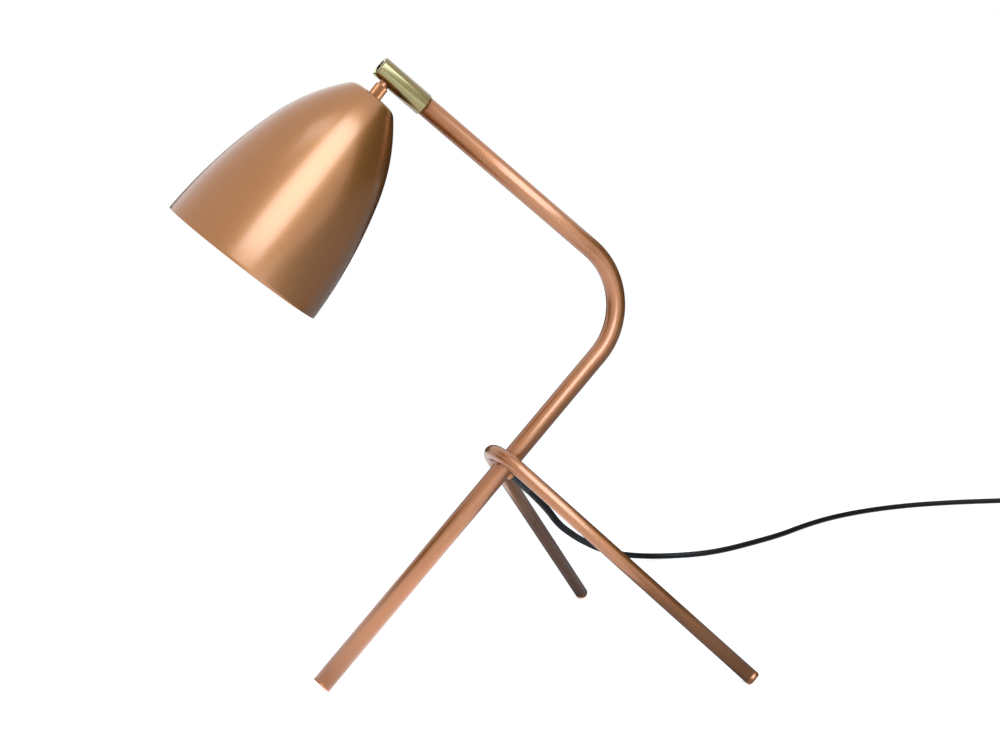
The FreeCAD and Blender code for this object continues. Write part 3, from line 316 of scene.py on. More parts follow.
def piece_from(name, mesh, material, body, slot, *nodes):
    """An object at the origin that rides on a body and stands for its CAD nodes."""
    if not mesh.materials:
        mesh.materials.append(material)
    piece = bpy.data.objects.new(name, mesh)
    bpy.context.scene.collection.objects.link(piece)
    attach(piece, body)
    if nodes:
        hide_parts(*nodes)
    return piece


def smooth(mesh, angle=32):
    """Smooth faces, with a crease where they meet at more than the angle in degrees."""
    mesh.shade_smooth()
    mesh.set_sharp_from_angle(angle=math.radians(angle))
    return mesh


def tree_for(name, sizes, counts=()):
    """A Geometry Nodes tree whose inputs are a line, named sizes, counts and the finish."""
    tree = bpy.data.node_groups.new(name, "GeometryNodeTree")
    kinds = {"Geometry": "Geometry", **dict.fromkeys(counts, "Int"),
             **dict.fromkeys(sizes, "Float"), "Finish": "Material"}
    for label, kind in kinds.items():
        tree.interface.new_socket(label, in_out="INPUT", socket_type="NodeSocket" + kind)
    tree.interface.new_socket("Geometry", in_out="OUTPUT", socket_type="NodeSocketGeometry")
    return tree, add_node(tree, "NodeGroupInput").outputs


def give_out(tree, shape, finish):
    """The end of a tree: real geometry in its finish."""
    real = add_node(tree, "GeometryNodeRealizeInstances", {0: shape.outputs[0]})
    coated = add_node(tree, "GeometryNodeSetMaterial", {"Geometry": real.outputs[0],
                                                        "Material": finish})
    add_node(tree, "NodeGroupOutput", {0: coated.outputs[0]})


def bent_tube_tree():
    """Polyline in, tube out: corners rounded to one radius and a ring swept along."""
    tree, given = tree_for("bent_tube", ("Bend radius", "Tube radius"))
    line = add_node(tree, "GeometryNodeMeshToCurve", {"Mesh": given["Geometry"]})
    bend = add_node(tree, "GeometryNodeFilletCurve", {"Curve": line.outputs[0], "Count": 48,
                                                      "Radius": given["Bend radius"]}, mode="POLY")
    run = add_node(tree, "GeometryNodeSplineParameter").outputs["Length"]
    bend = add_node(tree, "GeometryNodeStoreNamedAttribute",
                    {"Geometry": bend.outputs[0], "Name": "along", "Value": run}, data_type="FLOAT")
    ring = add_node(tree, "GeometryNodeCurvePrimitiveCircle", {"Resolution": 96,
                                                               "Radius": given["Tube radius"]})
    spot = add_node(tree, "GeometryNodeInputPosition").outputs[0]
    ring = add_node(tree, "GeometryNodeStoreNamedAttribute",
                    {"Geometry": ring.outputs[0], "Name": "around", "Value": spot},
                    data_type="FLOAT_VECTOR")
    tube = add_node(tree, "GeometryNodeCurveToMesh", {"Curve": bend.outputs[0],
                                                      "Profile Curve": ring.outputs[0]})
    give_out(tree, tube, given["Finish"])
    return tree


def grown(tree, points, values):
    """Runs a tree over a line of points and returns the plain mesh."""
    line = bpy.data.meshes.new("line")
    line.from_pydata(points, [(i, i + 1) for i in range(len(points) - 1)], [])
    holder = bpy.data.objects.new("line", line)
    bpy.context.scene.collection.objects.link(holder)
    modifier = holder.modifiers.new("grow", "NODES")
    modifier.node_group = tree
    named = {item.name: item.identifier for item in tree.interface.items_tree
             if item.in_out == "INPUT"}
    for label, value in values.items():
        modifier[named[label]] = value
    made = bpy.data.meshes.new_from_object(
        holder.evaluated_get(bpy.context.evaluated_depsgraph_get()))
    bpy.data.objects.remove(holder)
    return made


def out_of(mesh, inside):
    """Turns all faces round if the first one looks at a point inside."""
    face = mesh.polygons[0]
    if face.normal.dot(face.center - inside) < 0:
        mesh.flip_normals()
    return mesh


def hollow(piece, wall):
    """Gives a tube its wall, inwards from its outside."""
    shell = piece.modifiers.new("wall", "SOLIDIFY")
    shell.thickness, shell.offset = wall, -1.0


bent_tube = bent_tube_tree()
stem_start = FRONT_FOOT + STEM_DIR * FRONT_CAP_H
arm_end = BALL - ARM_DIR * SLEEVE_L
tube_mesh = grown(bent_tube, [stem_start, CORNER, arm_end],
                  {"Bend radius": TUBE_BEND, "Tube radius": TUBE_R, "Finish": satin_copper})
out_of(tube_mesh, stem_start)
hollow(piece_from("bent_stem_and_arm", smooth(tube_mesh), satin_copper, "stand", "copper_tube",
                  "main_tube"), TUBE_WALL)

leg_ends = [foot + (ROD_CORNER - foot).normalized() * BACK_CAP_H for foot in BACK_FEET]
rod_mesh = grown(bent_tube, [leg_ends[0], ROD_CORNER, leg_ends[1]],
                 {"Bend radius": ROD_BEND, "Tube radius": ROD_R, "Finish": satin_copper})
out_of(rod_mesh, leg_ends[0])
hollow(piece_from("hairpin_legs", smooth(rod_mesh), satin_copper, "stand", "copper_tube",
                  "leg_rod"), TUBE_WALL)

# ---------------------------------------------------------------- shade
# Spun from 1 mm sheet over a former: a bell with a flat crown, brushed round its axis and copper
# plated outside, white enamel inside, with the rim's raw edge turned smooth.
NECK_DIR = Vector((-0.634338, 0.173648, -0.753301))
SHADE_TOP, SHADE_H, SHADE_WALL = 22.4 * MM, 163.0 * MM, 1.0 * MM
RIM_R, RIM_LEAN = 69.3 * MM, math.radians(1.8)
LOWER_R, LOWER_H, UPPER_R = SHADE_H * 2.528, SHADE_H * 0.632, SHADE_H * 0.991
CROWN_DROP, SHADE_HOLE_R, SHADE_SIDES = 1.8 * MM, 5.15 * MM, 160


def wall_radius(height, inset):
    """Radius of the bell's wall at a height above the rim: two arcs that share a tangent."""
    middle = RIM_R - LOWER_R * math.cos(RIM_LEAN)
    level = -LOWER_R * math.sin(RIM_LEAN)
    if height <= LOWER_H:
        return middle + math.sqrt((LOWER_R - inset) ** 2 - (height - level) ** 2)
    joint = math.asin((LOWER_H - level) / LOWER_R)
    middle += (LOWER_R - UPPER_R) * math.cos(joint)
    level += (LOWER_R - UPPER_R) * math.sin(joint)
    return middle + math.sqrt((UPPER_R - inset) ** 2 - (height - level) ** 2)


def bell_side(inset, top, steps=70):
    """Points of one face of the wall, from the rounded rim to the crown's flat."""
    low, stop = SHADE_WALL / 2, top - CROWN_DROP
    points = [(wall_radius(low + (stop - low) * i / steps, inset), low + (stop - low) * i / steps)
              for i in range(steps + 1)]
    (r0, z0), (r1, z1) = points[-2], points[-1]
    slope = Vector((r1 - r0, z1 - z0)).normalized()
    turn = math.acos(-slope.x)
    reach = (top - stop) / math.tan(turn / 2)
    radius = reach / math.tan(turn / 2)
    centre = Vector((r1, z1)) + Vector((-slope.y, slope.x)) * radius
    start, arc_steps = math.atan2(z1 - centre.y, r1 - centre.x), 8
    for i in range(1, arc_steps + 1):
        angle = start + turn * i / arc_steps
        points.append((centre.x + radius * math.cos(angle), centre.y + radius * math.sin(angle)))
    return points


def stood_on(base, direction):
    """Places a form that was made upright at the origin."""
    return Matrix.Translation(base) @ direction.to_track_quat("Z", "Y").to_matrix().to_4x4()


def lathe(name, outline, base, direction, sides=96, closed=True):
    """A turned form from (radius, height) points, its U running round and V along the outline."""
    form = bmesh.new()
    uv = form.loops.layers.uv.new("turned")
    lengths = [0.0]
    count = len(outline)
    spans = [(i, (i + 1) % count) for i in range(count if closed else count - 1)]
    for low, high in spans:
        lengths.append(lengths[-1] + math.dist(outline[low], outline[high]))
    rings = []
    for radius, height in outline:
        if radius == 0:
            rings.append([form.verts.new((0, 0, height))] * sides)
        else:
            rings.append([form.verts.new((radius * math.cos(math.tau * k / sides),
                                          radius * math.sin(math.tau * k / sides), height))
                          for k in range(sides)])
    for index, (low, high) in enumerate(spans):
        for k in range(sides):
            after = (k + 1) % sides
            corners = {}
            for vertex, turn, end in ((rings[low][k], k, 0), (rings[low][after], k + 1, 0),
                                      (rings[high][after], k + 1, 1), (rings[high][k], k, 1)):
                corners.setdefault(vertex, (turn / sides, lengths[index + end]))
            # at a pole two corners fall together, and on the axis no face is left
            if len(corners) < 3:
                continue
            face = form.faces.new(list(corners))
            for loop, place_on_it in zip(face.loops, corners.values()):
                loop[uv].uv = place_on_it
    bmesh.ops.recalc_face_normals(form, faces=form.faces)
    mesh = bpy.data.meshes.new(name)
    form.to_mesh(mesh)
    form.free()
    mesh.transform(stood_on(base, direction))
    return smooth(mesh)


# Brushed copper under lacquer: the brush went round, so fine lines follow U, and the lacquer lets
# the light lie on them as a soft band. Lines some 0.05 mm apart are drawn at 0.25 mm.
BRUSH_GAP, SHADE_CLOUD = 0.25 * MM, 71.4 * MM
brushed_copper, tree, shader = new_surface("circular_brushed_copper", Metallic=0.7,
                                           Coat_Weight=1.0, Coat_Roughness=0.21, Coat_IOR=1.6)
laid = add_node(tree, "ShaderNodeUVMap", uv_map="turned")
parted = add_node(tree, "ShaderNodeSeparateXYZ", {0: laid.outputs[0]})
# the seam of U is hidden by reading the lines from a point that goes round with it
turned = add_node(tree, "ShaderNodeMath", {0: parted.outputs[0], 1: math.tau},
                  operation="MULTIPLY")
east = add_node(tree, "ShaderNodeMath", {0: turned.outputs[0]}, operation="COSINE")
north = add_node(tree, "ShaderNodeMath", {0: turned.outputs[0]}, operation="SINE")
fine_v = add_node(tree, "ShaderNodeMath", {0: parted.outputs[1], 1: 1 / BRUSH_GAP},
                  operation="MULTIPLY")
ringed = add_node(tree, "ShaderNodeCombineXYZ", {0: east.outputs[0], 1: north.outputs[0],
                                                 2: fine_v.outputs[0]})
lines = add_node(tree, "ShaderNodeTexNoise", {"Vector": ringed.outputs[0], "Scale": 1.0,
                                              "Detail": 4.0, "Roughness": 0.6}).outputs[0]
place = add_node(tree, "ShaderNodeTexCoord").outputs["Object"]
clouds = add_node(tree, "ShaderNodeTexNoise", {"Vector": place, "Scale": 1 / SHADE_CLOUD,
                                               "Detail": 3.0}).outputs[0]
worn_by(tree, shader, lines, clouds, lines, ("#a4652e", "#ac6d34"), (0.29, 0.33), 0.10, 0.05 * MM)

# Sprayed enamel inside: warm white, with the orange peel of a spray gun some 2.4 mm across.
ORANGE_PEEL = 2.38 * MM
white_enamel, tree, shader = new_surface("sprayed_white_enamel", Base_Color=srgb("#f1e4d0"),
                                         Roughness=0.38)
place = add_node(tree, "ShaderNodeTexCoord").outputs["Object"]
peel = add_node(tree, "ShaderNodeTexNoise", {"Vector": place, "Scale": 1 / ORANGE_PEEL,
                                             "Detail": 1.0})
bump = add_node(tree, "ShaderNodeBump", {"Height": peel.outputs[0], "Strength": 0.2,
                                         "Distance": 0.05 * MM})
tree.links.new(bump.outputs[0], shader.inputs["Normal"])

outer = bell_side(0.0, SHADE_H)
inner = bell_side(SHADE_WALL, SHADE_H - SHADE_WALL)
rim_r, rim_steps = SHADE_WALL / 2, 6
rim = [(RIM_R - rim_r + rim_r * math.cos(angle), rim_r + rim_r * math.sin(angle))
       for angle in [math.pi * (1 + i / rim_steps) for i in range(1, rim_steps)]]
hole = [(SHADE_HOLE_R, SHADE_H), (SHADE_HOLE_R, SHADE_H - SHADE_WALL)]
bell = outer + hole + inner[::-1] + rim
shade_mesh = lathe("bell_shade", bell, BALL + NECK_DIR * (SHADE_TOP + SHADE_H), -NECK_DIR,
                   SHADE_SIDES)
shade_mesh.materials.append(brushed_copper)
shade_mesh.materials.append(white_enamel)
# faces come in rings, in the outline's order: the outside, the hole's edge, then the inside
first_inner = len(outer) + 1
for face in shade_mesh.polygons:
    if first_inner <= face.index // SHADE_SIDES < first_inner + len(inner):
        face.material_index = 1
piece_from("bell_shade", shade_mesh, brushed_copper, "head", "copper_shade", "shade")

# ---------------------------------------------------------------- weld and feet
# Two short beads join hairpin and stem, brazed before plating. A turned cap closes each tube: a
# thin flat one under the stem, and rounded ones under the back legs, all plated with the rest.
BODY_OF = {node: body for body, members in frame["record"]["behaviour"]["bodies"].items()
           for node in members}
SLOT_OF = {row["node"]: row["material_slot"] for row in frame["record"]["subparts"]}


def dressed(node, material, bevel=0.0, angle=32):
    """A CAD piece's own form with its loose triangles merged, edges eased and a finish put on."""
    form = bmesh.new()
    form.from_mesh(frame["nodes"][node].data)
    bmesh.ops.remove_doubles(form, verts=form.verts, dist=1e-6)
    mesh = bpy.data.meshes.new(node + "_finished")
    form.to_mesh(mesh)
    form.free()
    mesh.materials.clear()
    piece = piece_from(node + "_finished", smooth(mesh, angle), material, BODY_OF[node],
                       SLOT_OF[node], node)
    if bevel:
        edge = piece.modifiers.new("eased_edges", "BEVEL")
        edge.width, edge.segments, edge.limit_method = bevel, 2, "ANGLE"
        edge.angle_limit, edge.harden_normals = math.radians(40), True
    return piece


def joined(name, meshes):
    """One mesh out of several."""
    form = bmesh.new()
    for mesh in meshes:
        form.from_mesh(mesh)
    whole = bpy.data.meshes.new(name)
    for material in meshes[0].materials:
        whole.materials.append(material)
    form.to_mesh(whole)
    form.free()
    return smooth(whole)


def cloudy(name, dark, light, rough, patch, grain, depth, **values):
    """A finish with tone and gloss in patches and a fine grain; patch, grain and depth in mm."""
    material, tree, shader = new_surface(name, **values)
    place = add_node(tree, "ShaderNodeTexCoord").outputs["Object"]
    # one wave of the noise is a patch and the gap beside it
    patches = add_node(tree, "ShaderNodeTexNoise", {"Vector": place, "Scale": 0.5 / (patch * MM),
                                                    "Detail": 4.0}).outputs[0]
    grains = add_node(tree, "ShaderNodeTexNoise", {"Vector": place, "Scale": 0.5 / (grain * MM),
                                                   "Detail": 2.0}).outputs[0]
    worn_by(tree, shader, patches, patches, grains, (dark, light), (rough * 0.88, rough * 1.12),
            0.3, depth * MM)
    return material


# The same plate and lacquer as on the tubes, on turned and brazed pieces: no drawn lines, and
# on the rough braze a duller, darker face.
plated_small = cloudy("copper_plate_on_turned_steel", *COPPER_TONES, 0.38, 9.0, 0.5, 0.02,
                      Metallic=0.7, Coat_Weight=1.0, Coat_Roughness=0.2)
brazed = cloudy("copper_plate_on_braze", "#8f5028", "#ad6a3a", 0.45, 2.0, 1.2, 0.15,
                Metallic=0.7, Coat_Weight=0.8, Coat_Roughness=0.3)
dressed("weld_beads", brazed)


def on_table(mesh):
    """Flattens what would stand in the table: the worn flat under a foot."""
    for vertex in mesh.vertices:
        vertex.co.z = max(vertex.co.z, 0.0)
    return mesh


def turned_corner(radius, height, round_r, outward, upward, steps=6):
    """Points of a rounded edge at a corner of a turned form, in outline order."""
    turns = [math.pi / 2 * i / steps for i in range(steps + 1)]
    if upward * outward < 0:
        turns.reverse()
    return [(radius - outward * round_r * (1 - math.cos(turn)),
             height - upward * round_r * (1 - math.sin(turn))) for turn in turns]


def foot_cap(name, radius, head, edge, foot, up):
    """A turned cap with a rounded edge, on a spigot that is pressed in the tube."""
    lip, spigot_r, spigot_end = 0.15 * MM, radius - TUBE_WALL - 0.1 * MM, head + 3 * MM
    outline = [(0, 0), *turned_corner(radius, 0, edge, 1, -1),
               *turned_corner(radius, head, lip, 1, 1, 3),
               (spigot_r, head), (spigot_r, spigot_end), (0, spigot_end)]
    return on_table(lathe(name, outline, foot, up, closed=False))


front_cap = foot_cap("front_foot_cap", TUBE_R, FRONT_CAP_H, 0.5 * MM, FRONT_FOOT, STEM_DIR)
piece_from("front_foot_cap", front_cap, plated_small, "stand", "copper_caps", "front_foot_plug")
back_caps = [foot_cap("back_cap", ROD_R, BACK_CAP_H, 2.0 * MM, foot,
                      (ROD_CORNER - foot).normalized()) for foot in BACK_FEET]
piece_from("back_foot_caps", joined("back_foot_caps", back_caps), plated_small, "stand",
           "copper_caps", "leg_foot_plugs")

# ---------------------------------------------------------------- cord's way out of the stem
# A plated ring is pressed in the tube's underside. The lead passes through it in a tapered
# sleeve of soft black PVC, whose rings let it bend. Two thin cores go on inside the tube.
UNDER_STEM = Vector((0.693402, 0.0, -0.720551))
EXIT_AT, RING_R, RING_BORE_R = 226.8 * MM, 5.3 * MM, 3.4 * MM
EXIT_POINT = FRONT_FOOT + STEM_DIR * EXIT_AT
BUSH_BACK, BUSH_FACE = 6.4 * MM, 10.5 * MM
bush_outline = [(RING_R, BUSH_BACK), *turned_corner(RING_R, BUSH_FACE, 0.9 * MM, 1, 1),
                *turned_corner(RING_BORE_R, BUSH_FACE, 0.5 * MM, -1, 1), (RING_BORE_R, BUSH_BACK)]
piece_from("cord_ring", lathe("cord_ring", bush_outline, EXIT_POINT, UNDER_STEM), plated_small,
           "stand", "copper_caps", "cord_bush")

# Soft PVC from a mould: dull black, a little greyer where it was pulled out.
soft_pvc = cloudy("moulded_soft_pvc", "#151516", "#1d1d1f", 0.5, 6.0, 0.4, 0.03)


def ringed_taper(start, length, girth, tip, rings, groove):
    """Outline of a strain relief: a taper with grooves, wide end at start."""
    outline, end = [(0, start), (girth, start)], start + length
    for ring in range(rings):
        for share, depth in ((0.15, 0), (0.3, 1), (0.6, 1), (0.75, 0)):
            way = (ring + share) / rings
            outline.append((girth + (tip - girth) * way - groove * depth, start + length * way))
    return outline + [(tip, end - 0.4 * MM), (tip - 0.3 * MM, end), (0, end)]


relief = ringed_taper(BUSH_FACE - 1 * MM, 21 * MM, 3.95 * MM, 3.3 * MM, 6, 0.25 * MM)
piece_from("cord_sleeve", lathe("cord_sleeve", relief, EXIT_POINT, UNDER_STEM, 64, False), soft_pvc,
           "stand", "cord_black", "cord_relief")

# Thin hard PVC drawn over the wires, in the two colours of live and neutral.
core_brown = cloudy("extruded_pvc_brown", "#5d3621", "#6f452c", 0.42, 5.0, 0.3, 0.01)
core_blue = cloudy("extruded_pvc_blue", "#2f5c9c", "#4470ae", 0.42, 5.0, 0.3, 0.01)
for node, finish in (("stem_core_brown", core_brown), ("stem_core_blue", core_blue),
                     ("head_core_brown", core_brown), ("head_core_blue", core_blue)):
    dressed(node, finish)

# ---------------------------------------------------------------- joint at the arm's end
# A sleeve turned from brass bar and lacquered, slotted from its nose to the neck's place. Inside,
# a hollow bolt holds it to the arm, and disc springs press a plastic seat on the ball.
TOOL_MARK, TARNISH = 0.5 * MM, 11.1 * MM


def turned_metal(name, axis, dark, light, rough, **values):
    """Metal from a lathe: fine rings round an axis, 0.1 mm apart and drawn at 0.5 mm."""
    material, tree, shader = new_surface(name, **values)
    place = add_node(tree, "ShaderNodeTexCoord").outputs["Object"]
    height = add_node(tree, "ShaderNodeVectorMath", {0: place, 1: axis}, operation="DOT_PRODUCT")
    rings = add_node(tree, "ShaderNodeTexNoise", {"W": height.outputs["Value"], "Detail": 3.0,
                                                  "Scale": 1 / TOOL_MARK}, noise_dimensions="1D")
    patches = add_node(tree, "ShaderNodeTexNoise", {"Vector": place, "Scale": 1 / TARNISH,
                                                    "Detail": 3.0})
    both = add_node(tree, "ShaderNodeMix", {"Factor": 0.5, "A": rings.outputs[0],
                                            "B": patches.outputs[0]}, data_type="FLOAT").outputs[0]
    worn_by(tree, shader, both, both, rings.outputs[0], (dark, light), (rough * 0.85, rough * 1.15),
            0.12, 0.02 * MM)
    return material


# Brass under clear lacquer is olive where it is in the dark and shows its lamps sharply. Zinc on
# steel is light grey and satin. The springs are blued by their tempering, and acetal is milky.
turned_brass = turned_metal("turned_brass_lacquered", ARM_DIR, "#75652f", "#8f804d", 0.17,
                            Metallic=1.0, Coat_Weight=1.0, Coat_Roughness=0.12, Coat_IOR=1.6)
zinc_plate = turned_metal("zinc_plated_steel", NECK_DIR, "#a9aaa8", "#c4c5c2", 0.3, Metallic=1.0)
sprung_steel = cloudy("blued_spring_steel", "#3b3f48", "#575a60", 0.32, 3.0, 0.3, 0.01,
                      Metallic=1.0)
acetal = cloudy("moulded_acetal", "#dcdad0", "#e8e6dd", 0.42, 5.0, 0.5, 0.01)
dressed("swivel_sleeve", turned_brass, 0.25 * MM)
dressed("arm_insert", zinc_plate)
dressed("swivel_bolt", zinc_plate, 0.15 * MM)
dressed("swivel_washer", zinc_plate)
dressed("disc_springs", sprung_steel)
dressed("ball_seat", acetal)

# ---------------------------------------------------------------- ball and knurled neck
# One turned piece: the ball, a waist, a collar with a straight knurl for the fingers and a thread
# for shade and lampholder, bored right through for the cores and plated copper.
BALL_R, WAIST_R, COLLAR_R, BORE_R = 7.3 * MM, 4.1 * MM, 5.4 * MM, 3.0 * MM
COLLAR_FROM, COLLAR_EDGE = 10.4 * MM, 0.5 * MM
THREAD_R, THREAD_TO = 5.0 * MM, 37.6 * MM


def knurled_collar_tree():
    """Line in, collar out: a toothed ring swept along, drawn in a little at both ends."""
    tree, given = tree_for("knurled_collar", ("Radius", "Tooth depth", "End scale"), ("Teeth",))
    line = add_node(tree, "GeometryNodeMeshToCurve", {"Mesh": given["Geometry"]})
    root = add_node(tree, "ShaderNodeMath", {0: given["Radius"], 1: given["Tooth depth"]},
                    operation="SUBTRACT")
    ring = add_node(tree, "GeometryNodeCurveStar", {"Points": given["Teeth"],
                                                    "Inner Radius": root.outputs[0],
                                                    "Outer Radius": given["Radius"]})
    ends = add_node(tree, "GeometryNodeCurveEndpointSelection", {"Start Size": 1, "End Size": 1})
    drawn_in = add_node(tree, "GeometryNodeSwitch", {"Switch": ends.outputs[0], "False": 1.0,
                                                     "True": given["End scale"]},
                        input_type="FLOAT")
    collar = add_node(tree, "GeometryNodeCurveToMesh",
                      {"Curve": line.outputs[0], "Profile Curve": ring.outputs[0],
                       "Scale": drawn_in.outputs[0], "Fill Caps": True})
    give_out(tree, collar, given["Finish"])
    return tree


# Plate on a knurl: tone and gloss vary in fine patches, some 1.2 mm across.
knurl_plate = cloudy("copper_plate_on_knurl", "#95562b", "#c08350", 0.3, 1.2, 0.3, 0.02,
                     Metallic=0.8, Coat_Weight=0.6, Coat_Roughness=0.2)
collar_line = [BALL + NECK_DIR * height for height in
               (COLLAR_FROM, COLLAR_FROM + COLLAR_EDGE, SHADE_TOP - COLLAR_EDGE, SHADE_TOP)]
collar = grown(knurled_collar_tree(), collar_line,
               {"Teeth": 40, "Radius": COLLAR_R, "Tooth depth": 0.3 * MM, "End scale": 0.94,
                "Finish": knurl_plate})
out_of(collar, BALL + NECK_DIR * (COLLAR_FROM + SHADE_TOP) / 2)
piece_from("knurled_collar", smooth(collar, 20), knurl_plate, "neck", "copper_knurled")


def arc(middle, radius, start, stop, steps):
    """Points of an arc round a place on the axis; turns count up from the low pole."""
    turns = [start + (stop - start) * i / steps for i in range(steps + 1)]
    return [(radius * math.sin(turn), middle - radius * math.cos(turn)) for turn in turns]


# the core of the collar stays below the knurl, and the ball is bored open at its low pole
core_r = THREAD_R - 0.6 * MM
neck_outline = [*arc(0, BALL_R, math.asin(BORE_R / BALL_R), math.pi - math.asin(WAIST_R / BALL_R), 24),
                (WAIST_R, COLLAR_FROM + 1 * MM), (core_r, COLLAR_FROM + 2 * MM),
                (core_r, SHADE_TOP), (THREAD_R, SHADE_TOP),
                *turned_corner(THREAD_R, THREAD_TO, 0.6 * MM, 1, 1, 3), (BORE_R, THREAD_TO)]
piece_from("ball_and_thread", lathe("ball_and_thread", neck_outline, BALL, NECK_DIR), plated_small,
           "neck", "copper_knurled", "ball_neck")

# ---------------------------------------------------------------- lampholder inside the shade
# A washer and a hexagon nut clamp the shade. The lampholder below them is black phenolic: a domed
# cap and a skirt, with a rolled brass shell for the bulb's cap and a sprung tongue at its floor.
# Phenolic is hard, black and half glossy. Rolled brass is bright and bare.
phenolic = cloudy("moulded_black_phenolic", "#1a1a1b", "#242425", 0.36, 7.0, 0.8, 0.02)
bright_brass = cloudy("rolled_brass", "#c9a862", "#d8ba78", 0.22, 4.0, 0.3, 0.01, Metallic=1.0)
dressed("lock_washer", zinc_plate, 0.1 * MM)
dressed("lock_nut", bright_brass, 0.3 * MM)
CAP_AT, BODY_AT, MOUTH_AT, FLOOR_AT = 27.6 * MM, 44.6 * MM, 80.6 * MM, 48.6 * MM
HOLDER_R, HOLDER_BORE_R, SEAM, CHAMFER = 18.5 * MM, 16.1 * MM, 0.1 * MM, 0.4 * MM
DOME_TOP_R, DOME_FROM, DOME_H, DOME_STEPS = 9.2 * MM, CAP_AT + 2 * MM, 9.0 * MM, 12
NECK_BOSS_R, BOSS_END = 9.0 * MM, CAP_AT + 8 * MM
dome = [(THREAD_R, CAP_AT), *turned_corner(NECK_BOSS_R, CAP_AT, 1.0 * MM, 1, -1, 4)]
for step in range(DOME_STEPS + 1):
    turn = math.pi / 2 * step / DOME_STEPS
    dome.append((DOME_TOP_R + (HOLDER_R - DOME_TOP_R) * math.sin(turn),
                 DOME_FROM + DOME_H * (1 - math.cos(turn))))
dome += [(HOLDER_R, BODY_AT - SEAM - CHAMFER), (HOLDER_R - CHAMFER, BODY_AT - SEAM),
         (HOLDER_BORE_R, BODY_AT - SEAM), (HOLDER_BORE_R, BODY_AT - 6 * MM),
         (NECK_BOSS_R, BOSS_END), (THREAD_R, BOSS_END)]
piece_from("holder_dome", lathe("holder_dome", dome, BALL, NECK_DIR), phenolic, "head",
           "holder_plastic", "holder_cap")
# the skirt's outside carries the coarse thread that such holders have for a shade ring
RING_THREAD_FROM, RING_PITCH, RING_TURNS = BODY_AT + 8 * MM, 4.0 * MM, 5
groove_r = HOLDER_R - 0.5 * MM
skirt = [(0, BODY_AT + SEAM), (HOLDER_R - CHAMFER, BODY_AT + SEAM),
         (HOLDER_R, BODY_AT + SEAM + CHAMFER)]
for turn in range(RING_TURNS):
    low = RING_THREAD_FROM + RING_PITCH * turn
    skirt += [(HOLDER_R, low), (groove_r, low + 0.7 * MM), (groove_r, low + 2.2 * MM),
              (HOLDER_R, low + 2.9 * MM)]
skirt += [*turned_corner(HOLDER_R, MOUTH_AT, 0.8 * MM, 1, 1, 4),
          *turned_corner(HOLDER_BORE_R, MOUTH_AT, 0.8 * MM, -1, 1, 4),
          (HOLDER_BORE_R, FLOOR_AT), (0, FLOOR_AT)]
piece_from("holder_skirt", lathe("holder_skirt", skirt, BALL, NECK_DIR, closed=False), phenolic,
           "head", "holder_plastic", "holder_body")
# the shell is rolled to the round thread of a bulb's cap, here as rings in place of a screw line
SHELL_H, SHELL_R, SHELL_WAVE, SHELL_PITCH = 28.0 * MM, 13.65 * MM, 0.22 * MM, 3.63 * MM
SHELL_STEPS, SHELL_WALL = 60, 0.3 * MM
shell = []
for step in range(SHELL_STEPS + 1):
    height = SHELL_H * step / SHELL_STEPS
    wave = SHELL_WAVE * math.sin(math.tau * height / SHELL_PITCH)
    shell.append((SHELL_R + wave, FLOOR_AT + height))
shell += [(radius - SHELL_WALL, height) for radius, height in shell[::-1]]
piece_from("holder_thread", lathe("holder_thread", shell, BALL, NECK_DIR, 72), bright_brass, "head",
           "brass_bright", "holder_shell")
dressed("holder_contact", bright_brass, 0.1 * MM)

# ---------------------------------------------------------------- bulb
# A globe of opal glass, frosted on its inside, in a rolled aluminium cap with its screw thread, a
# black glass insulator and a soldered contact.
BULB_AT, BULB_CAP_H, BULB_CAP_R = 52.1 * MM, 23.0 * MM, 13.2 * MM
GLOBE_R, GLOBE_RISE, GLOBE_STEPS = 22.5 * MM, 31.0 * MM, 40
BULB_NECK_R, THROAT_R, THROAT_STEPS = 12.6 * MM, 15.2 * MM, 8
# Opal glass is milky and softly lit from within, under a wet gloss. The cap is dull and silvery,
# and the insulator is black and shiny.
opal = cloudy("opal_frosted_glass", "#ece5d8", "#f6efe4", 0.22, 12.0, 1.0, 0.01,
              Subsurface_Weight=0.4, Subsurface_Scale=0.004, Coat_Weight=0.6, Coat_Roughness=0.06)
aluminium = cloudy("rolled_aluminium", "#bfc0c1", "#d2d3d3", 0.28, 4.0, 0.4, 0.01, Metallic=1.0)
black_glass = cloudy("black_insulator_glass", "#0e0e10", "#161618", 0.12, 3.0, 0.5, 0.005)
cap_end = BULB_AT + BULB_CAP_H
neck_from = cap_end + 1 * MM
globe_at, globe_low = cap_end + GLOBE_RISE, math.asin(THROAT_R / GLOBE_R)
globe = arc(globe_at, GLOBE_R, globe_low, math.pi, GLOBE_STEPS)
throat_at = globe[0][1]
glass = [(0, cap_end - 1 * MM), (BULB_NECK_R, cap_end - 1 * MM), (BULB_NECK_R, neck_from)]
for step in range(1, THROAT_STEPS):
    share = step / THROAT_STEPS
    # the power makes the neck flare, straight at the cap and wide at the globe
    glass.append((BULB_NECK_R + (THROAT_R - BULB_NECK_R) * share ** 1.6,
                  neck_from + (throat_at - neck_from) * share))
glass += globe[:-1] + [(0, globe_at + GLOBE_R)]
piece_from("opal_globe", lathe("opal_globe", glass, BALL, NECK_DIR, 128, False), opal, "head",
           "bulb_opal", "bulb_glass")


